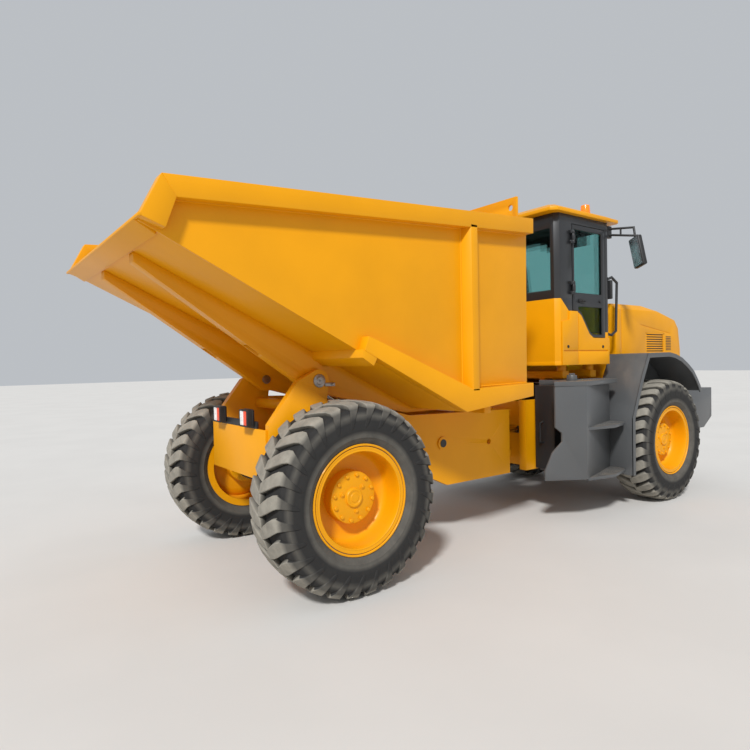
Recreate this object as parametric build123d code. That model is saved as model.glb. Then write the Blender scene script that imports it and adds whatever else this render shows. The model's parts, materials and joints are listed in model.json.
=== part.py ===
from build123d import *
import os
from math import atan2, cos, degrees, hypot, sin

os.makedirs("parts", exist_ok=True)

# Articulated four-wheel mining dump truck, in millimetres.
# +X points to the engine hood, +Y to the left, +Z up. While it is drawn, x is
# measured from the rear axle and z from the ground; at the end everything is
# moved so that the middle of the machine's length stands at x = 0.

# Whole machine; the length runs from the body's lip to the lamps in the counterweight
overall_length = 6750.0
overall_height = 3015.0
rear_end = -1330.0
front_end = rear_end + overall_length
middle_x = (rear_end + front_end) / 2

# General clearances
running_clearance = 0.3
moving_gap = 6.0
seam = 0.3

# Wheels
wheelbase = 3946.0
track_half = 863.0
tyre_radius = 627.0
tyre_width = 410.0
tread_width = 372.0
shoulder_drop = 34.0
rim_seat_radius = 318.0
rim_flange_radius = 355.0
rim_flange_thickness = 12.0
rim_width = 352.0
rim_wall = 17.0
disc_inset = 10.0
disc_thickness = 26.0
hub_radius = 170.0
hub_height = 88.0
hub_cap_radius = 62.0
hub_cap_height = 14.0
hub_drum_radius = 150.0
hub_drum_depth = 94.0
spindle_radius = 60.0
spindle_engagement = 170.0

# Axles
axle_bowl_radius = 185.0
axle_arm_inner_radius = 112.0
axle_arm_outer_radius = 84.0
axle_arm_end = 712.0
axle_nose_length = 300.0
axle_nose_radius = 95.0
axle_pad_length = 190.0

# Rear frame: two boxed rails, cross members and the rear panel
rail_inner = 405.0
rail_width = 90.0
rail_outer = rail_inner + rail_width
rail_rear = -365.0
rail_front = 2040.0
rail_bottom = 457.0
rail_over_axle = 735.0
rail_top_front = 1040.0
rail_top_mid = 1066.0
rail_top_rear = 1222.0
rail_elbow_z = 1085.0
rear_panel_half = 440.0
rear_panel_bottom = 700.0
rear_panel_top = 1050.0
rear_panel_thickness = 16.0
lamp_bracket_half = 335.0
frame_tube_radius = 42.0
frame_tube_at = (8.0, 1177.0)
rail_hole_at = (1764.0, 772.0)
rail_hole_radius = 25.0
coupling_plate_x = 1960.0
coupling_plate_thickness = 22.0
coupling_plate_bottom = 470.0
coupling_plate_top = 1030.0
axle_member_half = 110.0
axle_member_z = (830.0, 925.0)
rest_member_x = (1480.0, 1600.0)
rest_member_drop = 110.0

# Tipping hinge of the body
tip_x = 30.0
tip_z = 1370.0
tip_pin_radius = 35.0
ear_radius = 80.0
ear_rear_top = (-140.0, 1375.0)
pin_head_radius = 48.0
pin_head_thickness = 8.0

# Articulation between the two frames
pivot_x = 2220.0
pivot_pin_radius = 38.0
pivot_lug_radius = 105.0
hinge_level = {"upper": 960.0, "lower": 560.0}
fork_plate = 26.0
tongue_plate = 60.0
fork_root_half = 210.0
tongue_root_half = 160.0

# Driveshafts
shaft_radius = 40.0
shaft_ball_radius = 56.0
shaft_cup_radius = 74.0
shaft_z_pivot = 702.0
shaft_z_front = 760.0
shaft_hole_radius = 105.0
shaft_flange_radius = 62.0
shaft_flange_thickness = 22.0

# Front frame
front_plate_outer = 400.0
front_plate_thickness = 20.0
front_frame_rear = 2390.0
front_frame_front = front_end - 270.0
front_frame_bottom = 420.0
front_frame_top = 1100.0
front_frame_over_axle = 760.0
front_frame_nose_bottom = 640.0
post_return_inner = 318.0
tongue_plate_x = 2460.0

# Dump body
body_half = 980.0
body_wall = 20.0
body_rail = 73.0
lip_thickness = 40.0
floor_lip = (rear_end + lip_thickness, 2225.0)
body_rear_top = (floor_lip[0] + 103.0, 2456.0)
body_front_top = (1707.0, 2613.0)
body_front_x = 1690.0
body_front_bottom = 1199.0
floor_kink = (932.0, 1120.0)
top_rail_height = 118.0
lip_half = 1090.0
lip_height = 125.0
bottom_rail_height = 106.0
slope_rail_end = 78.0
slope_rail_height = 118.0
post_rear = 960.0
post_front = 1065.0
headboard_rise = 190.0
headboard_x = 1630.0
headboard_half = 950.0

# Beams under the body
beam_inner = 345.0
beam_outer = rail_inner - 5.0
beam_bottom_front = 1085.0
beam_front = 1640.0
cross_member_depth = 90.0
cross_member_width = 70.0
cross_members_x = (-980.0, -520.0, 235.0, 1250.0)
rest_pad_height = 38.0

# Hoist cylinders
hoist_y = 200.0
hoist_foot = (1201.0, 812.0)
hoist_head = (420.0, 1290.0)
hoist_tube_radius = 53.0
hoist_tube_wall = 24.0
hoist_boss = 12.0
hoist_eye_width = 100.0
hoist_barrel_radius = 60.0
hoist_barrel_length = 640.0
hoist_rod_radius = 32.0
hoist_rod_eye_radius = 45.0
hoist_rod_eye_width = 60.0
hoist_rod_tail = 105.0
hoist_bracket_thickness = 16.0

# Steering cylinders
steer_y = 230.0
steer_z = 800.0
steer_foot_x = 2900.0
steer_eye_x = 2060.0
steer_barrel_radius = 38.0
steer_barrel_length = 400.0
steer_rod_engagement = 190.0
steer_rod_radius = 20.0
steer_pin_radius = 20.0
steer_eye_radius = 42.0
steer_eye_height = 50.0
steer_bracket_plate = 16.0
steer_bracket_half = 45.0
steer_wall_x = steer_foot_x + 60.0
steer_slot = (125.0, 305.0)

# Step tanks beside the cab
tank_bottom = 410.0
tank_top = 1290.0
tank_lid_thickness = 45.0
tank_corner = (2485.0, -1000.0)
tank_rear_corner = (2240.0, -850.0)
tank_front_x = 3200.0
tank_recess_y = -787.0
tank_inner_y = -430.0
lid_end = (3385.0, -850.0)
step_levels = (870.0, 415.0)
step_thickness = 26.0
filler_cap_radius = 48.0
filler_cap_height = 42.0

# Front fenders
fender_outer = 1030.0
fender_inner = 610.0
fender_skin = 16.0
fender_rim = 45.0
fender_ledge = 30.0
fender_shelf_z = 1090.0
fender_profile = (
    (tank_front_x, 350.0), (tank_front_x, 880.0), (tank_front_x + 190.0, 1300.0),
    (wheelbase - 386.0, 1520.0), (wheelbase + 4.0, 1536.0), (wheelbase + 144.0, 1516.0),
    (wheelbase + 564.0, 1290.0), (wheelbase + 654.0, 1120.0),
)

# Counterweight
headlamp_proud = 20.0
counterweight_half = 800.0
counterweight_front = front_end - headlamp_proud
counterweight_rear = counterweight_front - 700.0
counterweight_bottom = 640.0
counterweight_top = 1110.0
counterweight_chin = (counterweight_front - 200.0, 760.0)

# Hood and its cowl
hood_half = 600.0
hood_rear = 3640.0
hood_seam = 3758.0
hood_front = front_end - 380.0
hood_bottom = 1130.0
hood_top = 2090.0
hood_shoulder = 2040.0
hood_crown_half = 540.0
hood_slope_start = hood_seam + 0.368 * (hood_front - hood_seam)
hood_slope_end = hood_front - 160.0
hood_slope_drop = 130.0
hood_wall = 25.0
side_grille = (hood_slope_start + 60.0, hood_front - 350.0, 1300.0, 1770.0)
front_grille_half = 440.0
front_grille_z = (1200.0, 1780.0)
grille_frame = 30.0
slat_pitch = 62.0
hood_hinge_y = 350.0
hood_hinge_length = 90.0
hood_hinge_radius = 12.0
hood_hinge_rise = 14.0
hood_pin_radius = 6.0
firewall_thickness = 15.0
firewall_bottom = 1250.0

# Engine, converter and drop box, one plain block: x from, x to, half width, z from, z to
engine_box = (3900.0, hood_slope_end, 330.0, 900.0, 1760.0)
converter_box = (3560.0, 3900.0, 240.0, 860.0, 1230.0)
drop_box = (3180.0, 3560.0, 240.0, 560.0, 1230.0)
engine_feet_x = (engine_box[0] + 120.0, engine_box[1] - 160.0)
engine_foot_length = 80.0
engine_foot_z = (1000.0, 1050.0)

# Cab
cab_half = 720.0
cab_rear = 2490.0
cab_front = 3380.0
cab_floor = 1430.0
cab_floor_thickness = 40.0
roof_edge = 35.0
roof_crown = 45.0
beacon_height = 85.0
cab_top = overall_height - beacon_height - roof_crown - roof_edge
cab_roof_rail = cab_top - 80.0
cab_wall = 45.0
cab_chamfer = 115.0
rear_window_bottom = 2060.0
rear_window_half = 560.0
front_panel_top = 1750.0
front_post = 75.0
glass_thickness = 8.0
roof_overhang_side = 50.0
roof_overhang_rear = 95.0
roof_overhang_front = 70.0
cab_mount_radius = 45.0
cab_mounts_x = (2740.0, 3200.0)
cab_mount_y = 560.0
cab_cross_height = 70.0
cab_beam_bottom = tank_top + 12.0

# Seat and console: each x from and x to, then heights over the floor
seat_base = (2720.0, 3000.0)
seat_base_half = 190.0
seat_base_height = 260.0
seat_cushion = (2680.0, 3090.0)
seat_cushion_half = 240.0
seat_cushion_height = 120.0
seat_back_half = 225.0
seat_back_height = 650.0
seat_back_thickness = 120.0
seat_back_lean = 75.0
console_half = 420.0
console_rear = 3190.0
console_height = 420.0
column_radius = 26.0
steering_wheel_at = (3140.0, 560.0)
steering_wheel_radius = 185.0
steering_wheel_rim = 24.0

# Doors
door_rear = 2700.0
door_front = 3300.0
door_bottom = 1700.0
door_kink = (2980.0, 2790.0)
door_kink_z = 1940.0
door_rear_z = 2045.0
door_frame = 55.0
door_thickness = 38.0
door_sill_z = 2080.0
door_sill_height = 80.0
door_hinge_levels = (2160.0, 2640.0)
door_hinge_radius = 16.0
door_pin_radius = 8.0
door_hinge_offset = 18.0

# Cab fittings
grab_x = 3330.0
grab_z = (1760.0, 2310.0)
grab_radius = 14.0
mirror_at = (3470.0, 980.0, 2540.0)
mirror_size = (60.0, 190.0, 300.0)
mirror_arm_radius = 11.0
mirror_arm_root = (3345.0, 2800.0)
mirror_arm_stub = 30.0
beacon_at = (3080.0, -620.0)
beacon_radius = 48.0

# Lamps
tail_lamp_y = 232.0
tail_lamp_size = (60.0, 200.0, 110.0)
headlamp_y = 640.0
headlamp_radius = 75.0
headlamp_z = 900.0


# Helpers

def side_plate(points, y_from, y_to):
    """Outline of (x, z) points, filled across from y_from to y_to."""
    corners = [Vector(x, y_from, z) for x, z in points]
    face = Face(Wire.make_polygon(corners, close=True))
    return Solid.extrude(face, Vector(0, y_to - y_from, 0))


def plan_plate(points, z_from, z_to):
    """Outline of (x, y) points, filled up from z_from to z_to."""
    corners = [Vector(x, y, z_from) for x, y in points]
    face = Face(Wire.make_polygon(corners, close=True))
    return Solid.extrude(face, Vector(0, 0, z_to - z_from))


def front_plate(points, x_from, x_to):
    """Outline of (y, z) points, filled along from x_from to x_to."""
    corners = [Vector(x_from, y, z) for y, z in points]
    face = Face(Wire.make_polygon(corners, close=True))
    return Solid.extrude(face, Vector(x_to - x_from, 0, 0))


def block(x0, x1, y0, y1, z0, z1):
    """Box between two corners."""
    return plan_plate(((x0, y0), (x1, y0), (x1, y1), (x0, y1)), z0, z1)


def rod(start, end, radius):
    """Round bar between two points."""
    start, end = Vector(*start), Vector(*end)
    axis = end - start
    return Solid.make_cylinder(radius, axis.length, Plane(origin=start, z_dir=axis))


def tapered(start, end, radius_start, radius_end):
    """Cone between two points."""
    start, end = Vector(*start), Vector(*end)
    axis = end - start
    return Solid.make_cone(radius_start, radius_end, axis.length, Plane(origin=start, z_dir=axis))


def ball(centre, radius):
    """Sphere about a point."""
    return Pos(*centre) * Sphere(radius)


def pipe(points, radius):
    """Bent tube: straight bars with a ball at each bend."""
    bars = [rod(a, b, radius) for a, b in zip(points, points[1:])]
    bends = [ball(p, radius) for p in points[1:-1]]
    return join(bars + bends)


def join(shapes):
    """Union of a list of shapes."""
    shapes = list(shapes)
    whole = shapes[0]
    for shape in shapes[1:]:
        whole = whole + shape
    return whole


def other_side(shape):
    """The same shape on the other side of the machine."""
    return mirror(shape, about=Plane.XZ)


def group(shapes):
    """Separate solids that share one piece."""
    return Compound([solid for shape in shapes for solid in shape.solids()])


def both(shape):
    """The shape joined with its mirror image."""
    return shape + other_side(shape)


def parallel(points, distance):
    """Open outline moved to its right-hand side by a distance, with mitred corners."""
    moved = []
    for index, (x, z) in enumerate(points):
        before = points[max(index - 1, 0)]
        after = points[min(index + 1, len(points) - 1)]
        first = atan2(z - before[1], x - before[0]) if index else None
        last = atan2(after[1] - z, after[0] - x) if index < len(points) - 1 else None
        first = last if first is None else first
        last = first if last is None else last
        middle = (first + last) / 2
        reach = distance / cos((last - first) / 2)
        moved.append((x + reach * sin(middle), z - reach * cos(middle)))
    return moved


def ribbon(points, thickness, y_from, y_to):
    """Bent sheet that follows an open outline."""
    return side_plate(list(points) + parallel(points, thickness)[::-1], y_from, y_to)


def floor_z(x):
    """Underside of the body floor: slope behind the kink, gentle rise ahead of it."""
    if x < floor_kink[0]:
        rise = (floor_lip[1] - floor_kink[1]) / (floor_kink[0] - floor_lip[0])
        return floor_kink[1] + (floor_kink[0] - x) * rise
    rise = (body_front_bottom - floor_kink[1]) / (body_front_x - floor_kink[0])
    return floor_kink[1] + (x - floor_kink[0]) * rise


# Wheels and axles

def revolved(points):
    """Ring or disc about the wheel's axis from (offset, radius) points."""
    corners = [Vector(radius, offset, 0) for offset, radius in points]
    return revolve(Face(Wire.make_polygon(corners, close=True)), axis=Axis.Y)


def tyre():
    """Tyre about the wheel centre, out to the tips of its lugs."""
    bead = rim_width / 2 - rim_flange_thickness
    half = tyre_width / 2
    tread = tread_width / 2
    shoulder = tyre_radius - shoulder_drop
    bulge = (rim_flange_radius + shoulder) / 2
    right = (
        (bead, rim_seat_radius), (bead, rim_flange_radius), (half - 12, rim_flange_radius + 45),
        (half, bulge), (half, shoulder - 30), (tread, tyre_radius - 12), (tread - 40, tyre_radius),
    )
    left = [(-offset, radius) for offset, radius in reversed(right)]
    return revolved(list(right) + left)


def rim():
    """Flanged rim with its dished disc and planetary hub cover, outer side to +Y."""
    half = rim_width / 2
    bead = half - rim_flange_thickness
    inner = rim_seat_radius - rim_wall
    disc_back = -disc_inset - disc_thickness
    hub_top = disc_back + disc_thickness + hub_height
    bore = spindle_radius + running_clearance
    bore_end = disc_back - hub_drum_depth + spindle_engagement
    drum_back = disc_back - hub_drum_depth
    return revolved((
        (-half, rim_flange_radius), (-bead, rim_flange_radius), (-bead, rim_seat_radius),
        (bead, rim_seat_radius), (bead, rim_flange_radius), (half, rim_flange_radius),
        (half, inner), (-disc_inset, inner), (-disc_inset, hub_radius), (hub_top - 14, hub_radius),
        (hub_top, hub_radius - 16), (hub_top, hub_cap_radius), (hub_top + hub_cap_height, hub_cap_radius - 8),
        (hub_top + hub_cap_height, 0), (bore_end, 0), (bore_end, bore), (drum_back, bore),
        (drum_back, hub_drum_radius), (disc_back, hub_drum_radius), (disc_back, inner), (-half, inner),
    ))


def axle(x, nose_direction, pad_y, pad_width, pad_top):
    """Drive axle with its bowl, arms, spindles, pinion nose and frame pads."""
    z = tyre_radius
    tip = track_half - disc_inset - disc_thickness - hub_drum_depth + spindle_engagement - 4
    bowl = ball((x, 0, z), axle_bowl_radius)
    nose = tapered((x, 0, z), (x + nose_direction * axle_nose_length, 0, z),
                   axle_bowl_radius * 0.9, axle_nose_radius)
    arm = tapered((x, 100, z), (x, axle_arm_end, z), axle_arm_inner_radius, axle_arm_outer_radius)
    spindle = rod((x, axle_arm_end - 10, z), (x, tip, z), spindle_radius)
    pad = block(x - axle_pad_length / 2, x + axle_pad_length / 2, pad_y, pad_y + pad_width, z, pad_top)
    return join([bowl, nose, both(arm), both(spindle), both(pad)])


def front_axle():
    """Front drive axle with the short shaft from its nose to the drop box."""
    body = axle(wheelbase, -1, front_plate_outer - 30, 40, front_frame_over_axle)
    nose_end = wheelbase - axle_nose_length
    shaft = rod((drop_box[1] + seam, 0, tyre_radius), (nose_end + 5, 0, tyre_radius), shaft_radius)
    return join([body, shaft, shaft_flange(drop_box[1], tyre_radius, 1)])


# Rear chassis

def frame_rail():
    """Left boxed rail with the ear of the body hinge and its bores."""
    outline = (
        (rail_rear, rail_over_axle), (rail_rear, rail_elbow_z), ear_rear_top,
        (tip_x - 25, tip_z + ear_radius - 5), (tip_x + ear_radius, tip_z), (tip_x + 60, rail_top_rear + 6),
        (250, rail_top_rear), (860, rail_top_mid), (rail_front, rail_top_front),
        (rail_front, rail_bottom), (1250, rail_bottom), (640, rail_over_axle),
    )
    rail = side_plate(outline, rail_inner, rail_outer)
    rail = rail + rod((tip_x, rail_inner, tip_z), (tip_x, rail_outer, tip_z), ear_radius)
    foot_x, foot_z = hoist_foot
    rail = rail + rod((foot_x, rail_outer, foot_z), (foot_x, rail_outer + hoist_boss, foot_z), hoist_tube_radius)
    bores = (
        (tip_x, tip_z, tip_pin_radius + running_clearance),
        (rail_hole_at[0], rail_hole_at[1], rail_hole_radius),
        (foot_x, foot_z, hoist_tube_radius - hoist_tube_wall),
    )
    for x, z, radius in bores:
        rail = rail - rod((x, rail_inner - 1, z), (x, rail_outer + hoist_boss + 1, z), radius)
    return rail


def coupling_fork():
    """Plate across the rails with the four fork lugs and the steering rods' brackets."""
    plate_front = coupling_plate_x + coupling_plate_thickness
    plate = block(coupling_plate_x, plate_front, -rail_inner, rail_inner, coupling_plate_bottom,
                  coupling_plate_top)
    fork = plate - rod((coupling_plate_x - 5, 0, shaft_z_pivot - 8),
                       (coupling_plate_x + 60, 0, shaft_z_pivot - 8), shaft_hole_radius)
    fork_gap = tongue_plate + 2 * running_clearance
    for level in hinge_level.values():
        for side in (-1, 1):
            low = level + side * (fork_gap + fork_plate) / 2 - fork_plate / 2
            fork = fork + lug(plate_front, pivot_x, fork_root_half, pivot_lug_radius, low, low + fork_plate)
    fork = fork - rod((pivot_x, 0, coupling_plate_bottom), (pivot_x, 0, coupling_plate_top + 20),
                      pivot_pin_radius + running_clearance)
    eye_half = steer_eye_height / 2 + 1
    for low in (steer_z - eye_half - steer_bracket_plate, steer_z + eye_half):
        fork = fork + both(block(plate_front, steer_eye_x + steer_eye_radius, steer_y - steer_bracket_half,
                                 steer_y + steer_bracket_half, low, low + steer_bracket_plate))
    return fork


def rear_cross_members():
    """Rear panel, tubes, cross members and coupling fork, welded between the rails."""
    panel = block(rail_rear - rear_panel_thickness, rail_rear, -rear_panel_half, rear_panel_half,
                  rear_panel_bottom, rear_panel_top)
    hinge_tube = rod((frame_tube_at[0], -rail_inner, frame_tube_at[1]),
                     (frame_tube_at[0], rail_inner, frame_tube_at[1]), frame_tube_radius)
    low, high = axle_member_z
    axle_member = block(-axle_member_half, axle_member_half, -rail_inner, rail_inner, low, high)
    pad_low = beam_bottom_front - rest_pad_height
    x0, x1 = rest_member_x
    rest = block(x0, x1, -rail_inner, rail_inner, rail_top_front - rest_member_drop, pad_low)
    pad = block(x0 + 10, x1 - 10, beam_inner, beam_outer, pad_low - 1, beam_bottom_front - seam)
    foot_x, foot_z = hoist_foot
    foot_tube = rod((foot_x, -rail_inner, foot_z), (foot_x, rail_inner, foot_z), hoist_tube_radius)
    foot_tube = foot_tube - rod((foot_x, -rail_inner - 1, foot_z), (foot_x, rail_inner + 1, foot_z),
                                hoist_tube_radius - hoist_tube_wall)
    return group([panel, hinge_tube, axle_member, rest + both(pad), foot_tube, coupling_fork()])


def lug(root_x, tip, root_half, end_radius, z_from, z_to):
    """Flat hinge plate that tapers from its root to a round end about the pivot."""
    taper = plan_plate(((root_x, -root_half), (tip, -end_radius), (tip, end_radius), (root_x, root_half)),
                       z_from, z_to)
    end = rod((tip, 0, z_from), (tip, 0, z_to), end_radius)
    return taper + end


def pivot_pins():
    """Two body hinge pins with heads and two articulation pins with heads."""
    head_y = rail_outer
    tip_pin = rod((tip_x, beam_inner - 10, tip_z), (tip_x, head_y, tip_z), tip_pin_radius)
    tip_pin = tip_pin + rod((tip_x, head_y, tip_z), (tip_x, head_y + pin_head_thickness, tip_z),
                            pin_head_radius)
    pins = [tip_pin, other_side(tip_pin)]
    reach = (tongue_plate + 2 * running_clearance) / 2 + fork_plate
    for level in hinge_level.values():
        pin = rod((pivot_x, 0, level - reach), (pivot_x, 0, level + reach), pivot_pin_radius)
        pin = pin + rod((pivot_x, 0, level + reach), (pivot_x, 0, level + reach + 12), pivot_pin_radius + 16)
        pins.append(pin)
    return group(pins)


def shaft_flange(x, z, direction):
    """Companion flange with its axis along the machine, ahead of or behind x."""
    return rod((x + direction * seam, 0, z), (x + direction * shaft_flange_thickness, 0, z), shaft_flange_radius)


def rear_shaft():
    """Shaft from the rear axle to the ball of the joint on the articulation axis."""
    flange_end = axle_nose_length + shaft_flange_thickness
    centre = (pivot_x, 0, shaft_z_pivot)
    bar = rod((flange_end - 6, 0, tyre_radius), centre, shaft_radius)
    return shaft_flange(axle_nose_length, tyre_radius, 1) + bar + ball(centre, shaft_ball_radius)


def front_driveshaft():
    """Cup over the ball of the joint, and the shaft on to the drop box."""
    gearbox_rear = drop_box[0]
    flange_start = gearbox_rear - shaft_flange_thickness
    run, rise = flange_start - pivot_x, shaft_z_front - shaft_z_pivot
    length = hypot(run, rise)
    mouth, seat = 36.0, shaft_ball_radius + running_clearance
    mouth_radius = (seat ** 2 - mouth ** 2) ** 0.5
    middle = Vector((seat * cos(0.35)), 0, seat * sin(0.35))
    wall = Wire([
        Edge.make_three_point_arc(Vector(mouth, 0, mouth_radius), middle, Vector(seat, 0, 0)),
        Edge.make_line(Vector(seat, 0, 0), Vector(length, 0, 0)),
        Edge.make_line(Vector(length, 0, 0), Vector(length, 0, shaft_radius)),
        Edge.make_line(Vector(length, 0, shaft_radius), Vector(130, 0, shaft_radius)),
        Edge.make_line(Vector(130, 0, shaft_radius), Vector(100, 0, shaft_cup_radius)),
        Edge.make_line(Vector(100, 0, shaft_cup_radius), Vector(mouth, 0, shaft_cup_radius)),
        Edge.make_line(Vector(mouth, 0, shaft_cup_radius), Vector(mouth, 0, mouth_radius)),
    ])
    shaft = revolve(Face(wall), axis=Axis.X)
    shaft = Pos(pivot_x, 0, shaft_z_pivot) * (Rot(0, -degrees(atan2(rise, run)), 0) * shaft)
    return shaft + shaft_flange(gearbox_rear, shaft_z_front, -1)


def tail_lamps():
    """Two lamp housings on a low bracket along the rear panel."""
    depth, width, height = tail_lamp_size
    back = rail_rear - rear_panel_thickness
    bracket = block(back, rail_rear, -lamp_bracket_half, lamp_bracket_half, rear_panel_top,
                    rear_panel_top + 50)
    lamp = block(back - depth, back, tail_lamp_y - width / 2, tail_lamp_y + width / 2,
                 rear_panel_top + 12, rear_panel_top + 12 + height)
    return join([bracket, both(lamp)])


# Dump body

def dump_body():
    """Open scow-ended body: sides, floor, front wall, headboard, rails and lip."""
    rear_top, front_top = body_rear_top, body_front_top
    front_low = (body_front_x, body_front_bottom)
    side = side_plate((rear_top, front_top, (body_front_x, body_front_bottom), floor_kink, floor_lip),
                      body_half - body_wall, body_half)
    inner = body_half - body_wall
    floor = side_plate((floor_lip, floor_kink, front_low, (body_front_x, body_front_bottom + body_wall),
                        (floor_kink[0] + 5, floor_kink[1] + body_wall),
                        (floor_lip[0], floor_lip[1] + body_wall + 2)), -inner, inner)
    wall_top = front_top[1] - 8
    wall = side_plate(((body_front_x - body_wall, body_front_bottom), (body_front_x, body_front_bottom),
                       (front_top[0], wall_top), (front_top[0] - body_wall, wall_top)), -inner, inner)
    headboard = block(headboard_x, headboard_x + body_wall, -headboard_half, headboard_half,
                      wall_top - 260, front_top[1] + headboard_rise)
    tie = block(headboard_x, front_top[0] - body_wall / 2, -headboard_half, headboard_half,
                wall_top - 200, wall_top - 180)
    slope = (front_top[1] - rear_top[1]) / (front_top[0] - rear_top[0])
    top_rail = side_plate((rear_top, front_top, (front_top[0] - 2, front_top[1] - top_rail_height),
                           (rear_top[0] + 74, rear_top[1] + 74 * slope - top_rail_height + 4)),
                          inner, body_half + body_rail)
    rear_band = side_plate((rear_top, (rear_top[0] + 74, rear_top[1] - 104),
                            (floor_lip[0] + 117, floor_lip[1] - 38), (floor_lip[0] - 9, floor_lip[1] + 9)),
                           inner, body_half + body_rail)
    bottom_rail = side_plate((floor_kink, (body_front_x - 7, body_front_bottom),
                              (body_front_x - 7, body_front_bottom + bottom_rail_height),
                              (1000, 1284), (slope_rail_end + 45, floor_z(slope_rail_end + 45) + slope_rail_height),
                              (slope_rail_end, floor_z(slope_rail_end))), body_half - 5, body_half + body_rail)
    post = plan_plate(((post_rear, body_half - 5), (post_rear + 38, body_half + body_rail),
                       (post_front, body_half + body_rail), (post_front, body_half - 5)), 1270, 2480)
    lip = side_plate(((floor_lip[0] - lip_thickness, floor_lip[1] - lip_height),
                      (floor_lip[0] - lip_thickness, floor_lip[1] + body_wall),
                      (floor_lip[0] + 2, floor_lip[1] + body_wall), (floor_lip[0] + 2, floor_lip[1] - lip_height)),
                     -lip_half, lip_half)
    return join([floor, wall, headboard, tie, both(join([side, top_rail, rear_band, bottom_rail, post])), lip])


def dump_underframe():
    """Two deep beams with the hinge bores, cross members and the hoist brackets."""
    bottom = beam_bottom_front
    outline = (
        (floor_lip[0] + 3, floor_z(floor_lip[0] + 3)), (floor_lip[0] + 3, floor_z(floor_lip[0]) - 60),
        (tip_x - 160, tip_z + 15), (tip_x - 90, tip_z - 40), (tip_x - 20, tip_z - 92), (tip_x + 60, tip_z - 92),
        (250, rail_top_rear + 13), (870, bottom), (beam_front, bottom), (beam_front, floor_z(beam_front)),
        floor_kink,
    )
    beam = side_plate(outline, beam_inner, beam_outer)
    beam = beam - rod((tip_x, beam_inner - 1, tip_z), (tip_x, beam_outer + 1, tip_z),
                      tip_pin_radius + running_clearance)
    parts = [both(beam)]
    reach = body_half - body_wall - 5
    for x in cross_members_x:
        near, far = x - cross_member_width / 2, x + cross_member_width / 2
        depth = min(cross_member_depth, floor_z(x) - bottom)
        parts.append(side_plate(((near, floor_z(near)), (far, floor_z(far)), (far, floor_z(far) - depth),
                                 (near, floor_z(near) - depth)), -reach, reach))
    head_x, head_z = hoist_head
    half_eye = hoist_rod_eye_width / 2 + 2
    for offset in (half_eye, -half_eye - hoist_bracket_thickness):
        plate = side_plate(((head_x - 205, floor_z(head_x - 205)), (head_x + 110, floor_z(head_x + 110)),
                            (head_x + 45, head_z - 50), (head_x - 90, head_z - 50)),
                           hoist_y + offset, hoist_y + offset + hoist_bracket_thickness)
        parts.append(both(plate))
    return join(parts)


def hoist_direction():
    """Unit vector and length from the hoist foot to its head with the body down."""
    run = hoist_head[0] - hoist_foot[0]
    rise = hoist_head[1] - hoist_foot[1]
    length = hypot(run, rise)
    return run / length, rise / length, length


def hoist_barrel(side):
    """Barrel with the eye that turns on the frame's cross tube."""
    dx, dz, length = hoist_direction()
    foot_x, foot_z = hoist_foot
    y = side * hoist_y
    eye = rod((foot_x, y - hoist_eye_width / 2, foot_z), (foot_x, y + hoist_eye_width / 2, foot_z),
              hoist_tube_radius + 26)
    tube = rod((foot_x + dx * 50, y, foot_z + dz * 50),
               (foot_x + dx * hoist_barrel_length, y, foot_z + dz * hoist_barrel_length), hoist_barrel_radius)
    cavity = rod((foot_x + dx * (hoist_rod_tail - 2), y, foot_z + dz * (hoist_rod_tail - 2)),
                 (foot_x + dx * (hoist_barrel_length + 5), y, foot_z + dz * (hoist_barrel_length + 5)),
                 hoist_rod_radius + running_clearance)
    bore = rod((foot_x, y - hoist_eye_width, foot_z), (foot_x, y + hoist_eye_width, foot_z),
               hoist_tube_radius + running_clearance)
    return eye + tube - cavity - bore


def hoist_rod(side):
    """Rod with the eye under the body."""
    dx, dz, length = hoist_direction()
    foot_x, foot_z = hoist_foot
    y = side * hoist_y
    bar = rod((foot_x + dx * hoist_rod_tail, y, foot_z + dz * hoist_rod_tail),
              (hoist_head[0], y, hoist_head[1]), hoist_rod_radius)
    eye = rod((hoist_head[0], y - hoist_rod_eye_width / 2, hoist_head[1]),
              (hoist_head[0], y + hoist_rod_eye_width / 2, hoist_head[1]), hoist_rod_eye_radius)
    return bar + eye


def steer_barrel(side):
    """Steering barrel, hinged on the front frame."""
    y = side * steer_y
    half = steer_eye_height / 2
    eye = rod((steer_foot_x, y, steer_z - half), (steer_foot_x, y, steer_z + half), steer_eye_radius)
    neck_end = steer_foot_x - steer_bracket_half - 10
    tube = rod((neck_end, y, steer_z), (steer_foot_x - steer_barrel_length, y, steer_z), steer_barrel_radius)
    tube = tube + rod((steer_foot_x - steer_pin_radius - 8, y, steer_z), (neck_end - 1, y, steer_z), half - 1)
    cavity = rod((steer_foot_x - 60, y, steer_z), (steer_foot_x - steer_barrel_length - 5, y, steer_z),
                 steer_rod_radius + running_clearance)
    bore = rod((steer_foot_x, y, steer_z - half - 1), (steer_foot_x, y, steer_z + half + 1),
               steer_pin_radius + running_clearance)
    return eye + tube - cavity - bore


def steer_rod(side):
    """Steering rod with its eye in the rear frame's bracket."""
    y = side * steer_y
    half = steer_eye_height / 2
    tail = steer_foot_x - steer_barrel_length + steer_rod_engagement
    bar = rod((tail, y, steer_z), (steer_eye_x, y, steer_z), steer_rod_radius)
    eye = rod((steer_eye_x, y, steer_z - half), (steer_eye_x, y, steer_z + half), steer_eye_radius - 4)
    return bar + eye


# Front chassis

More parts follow.
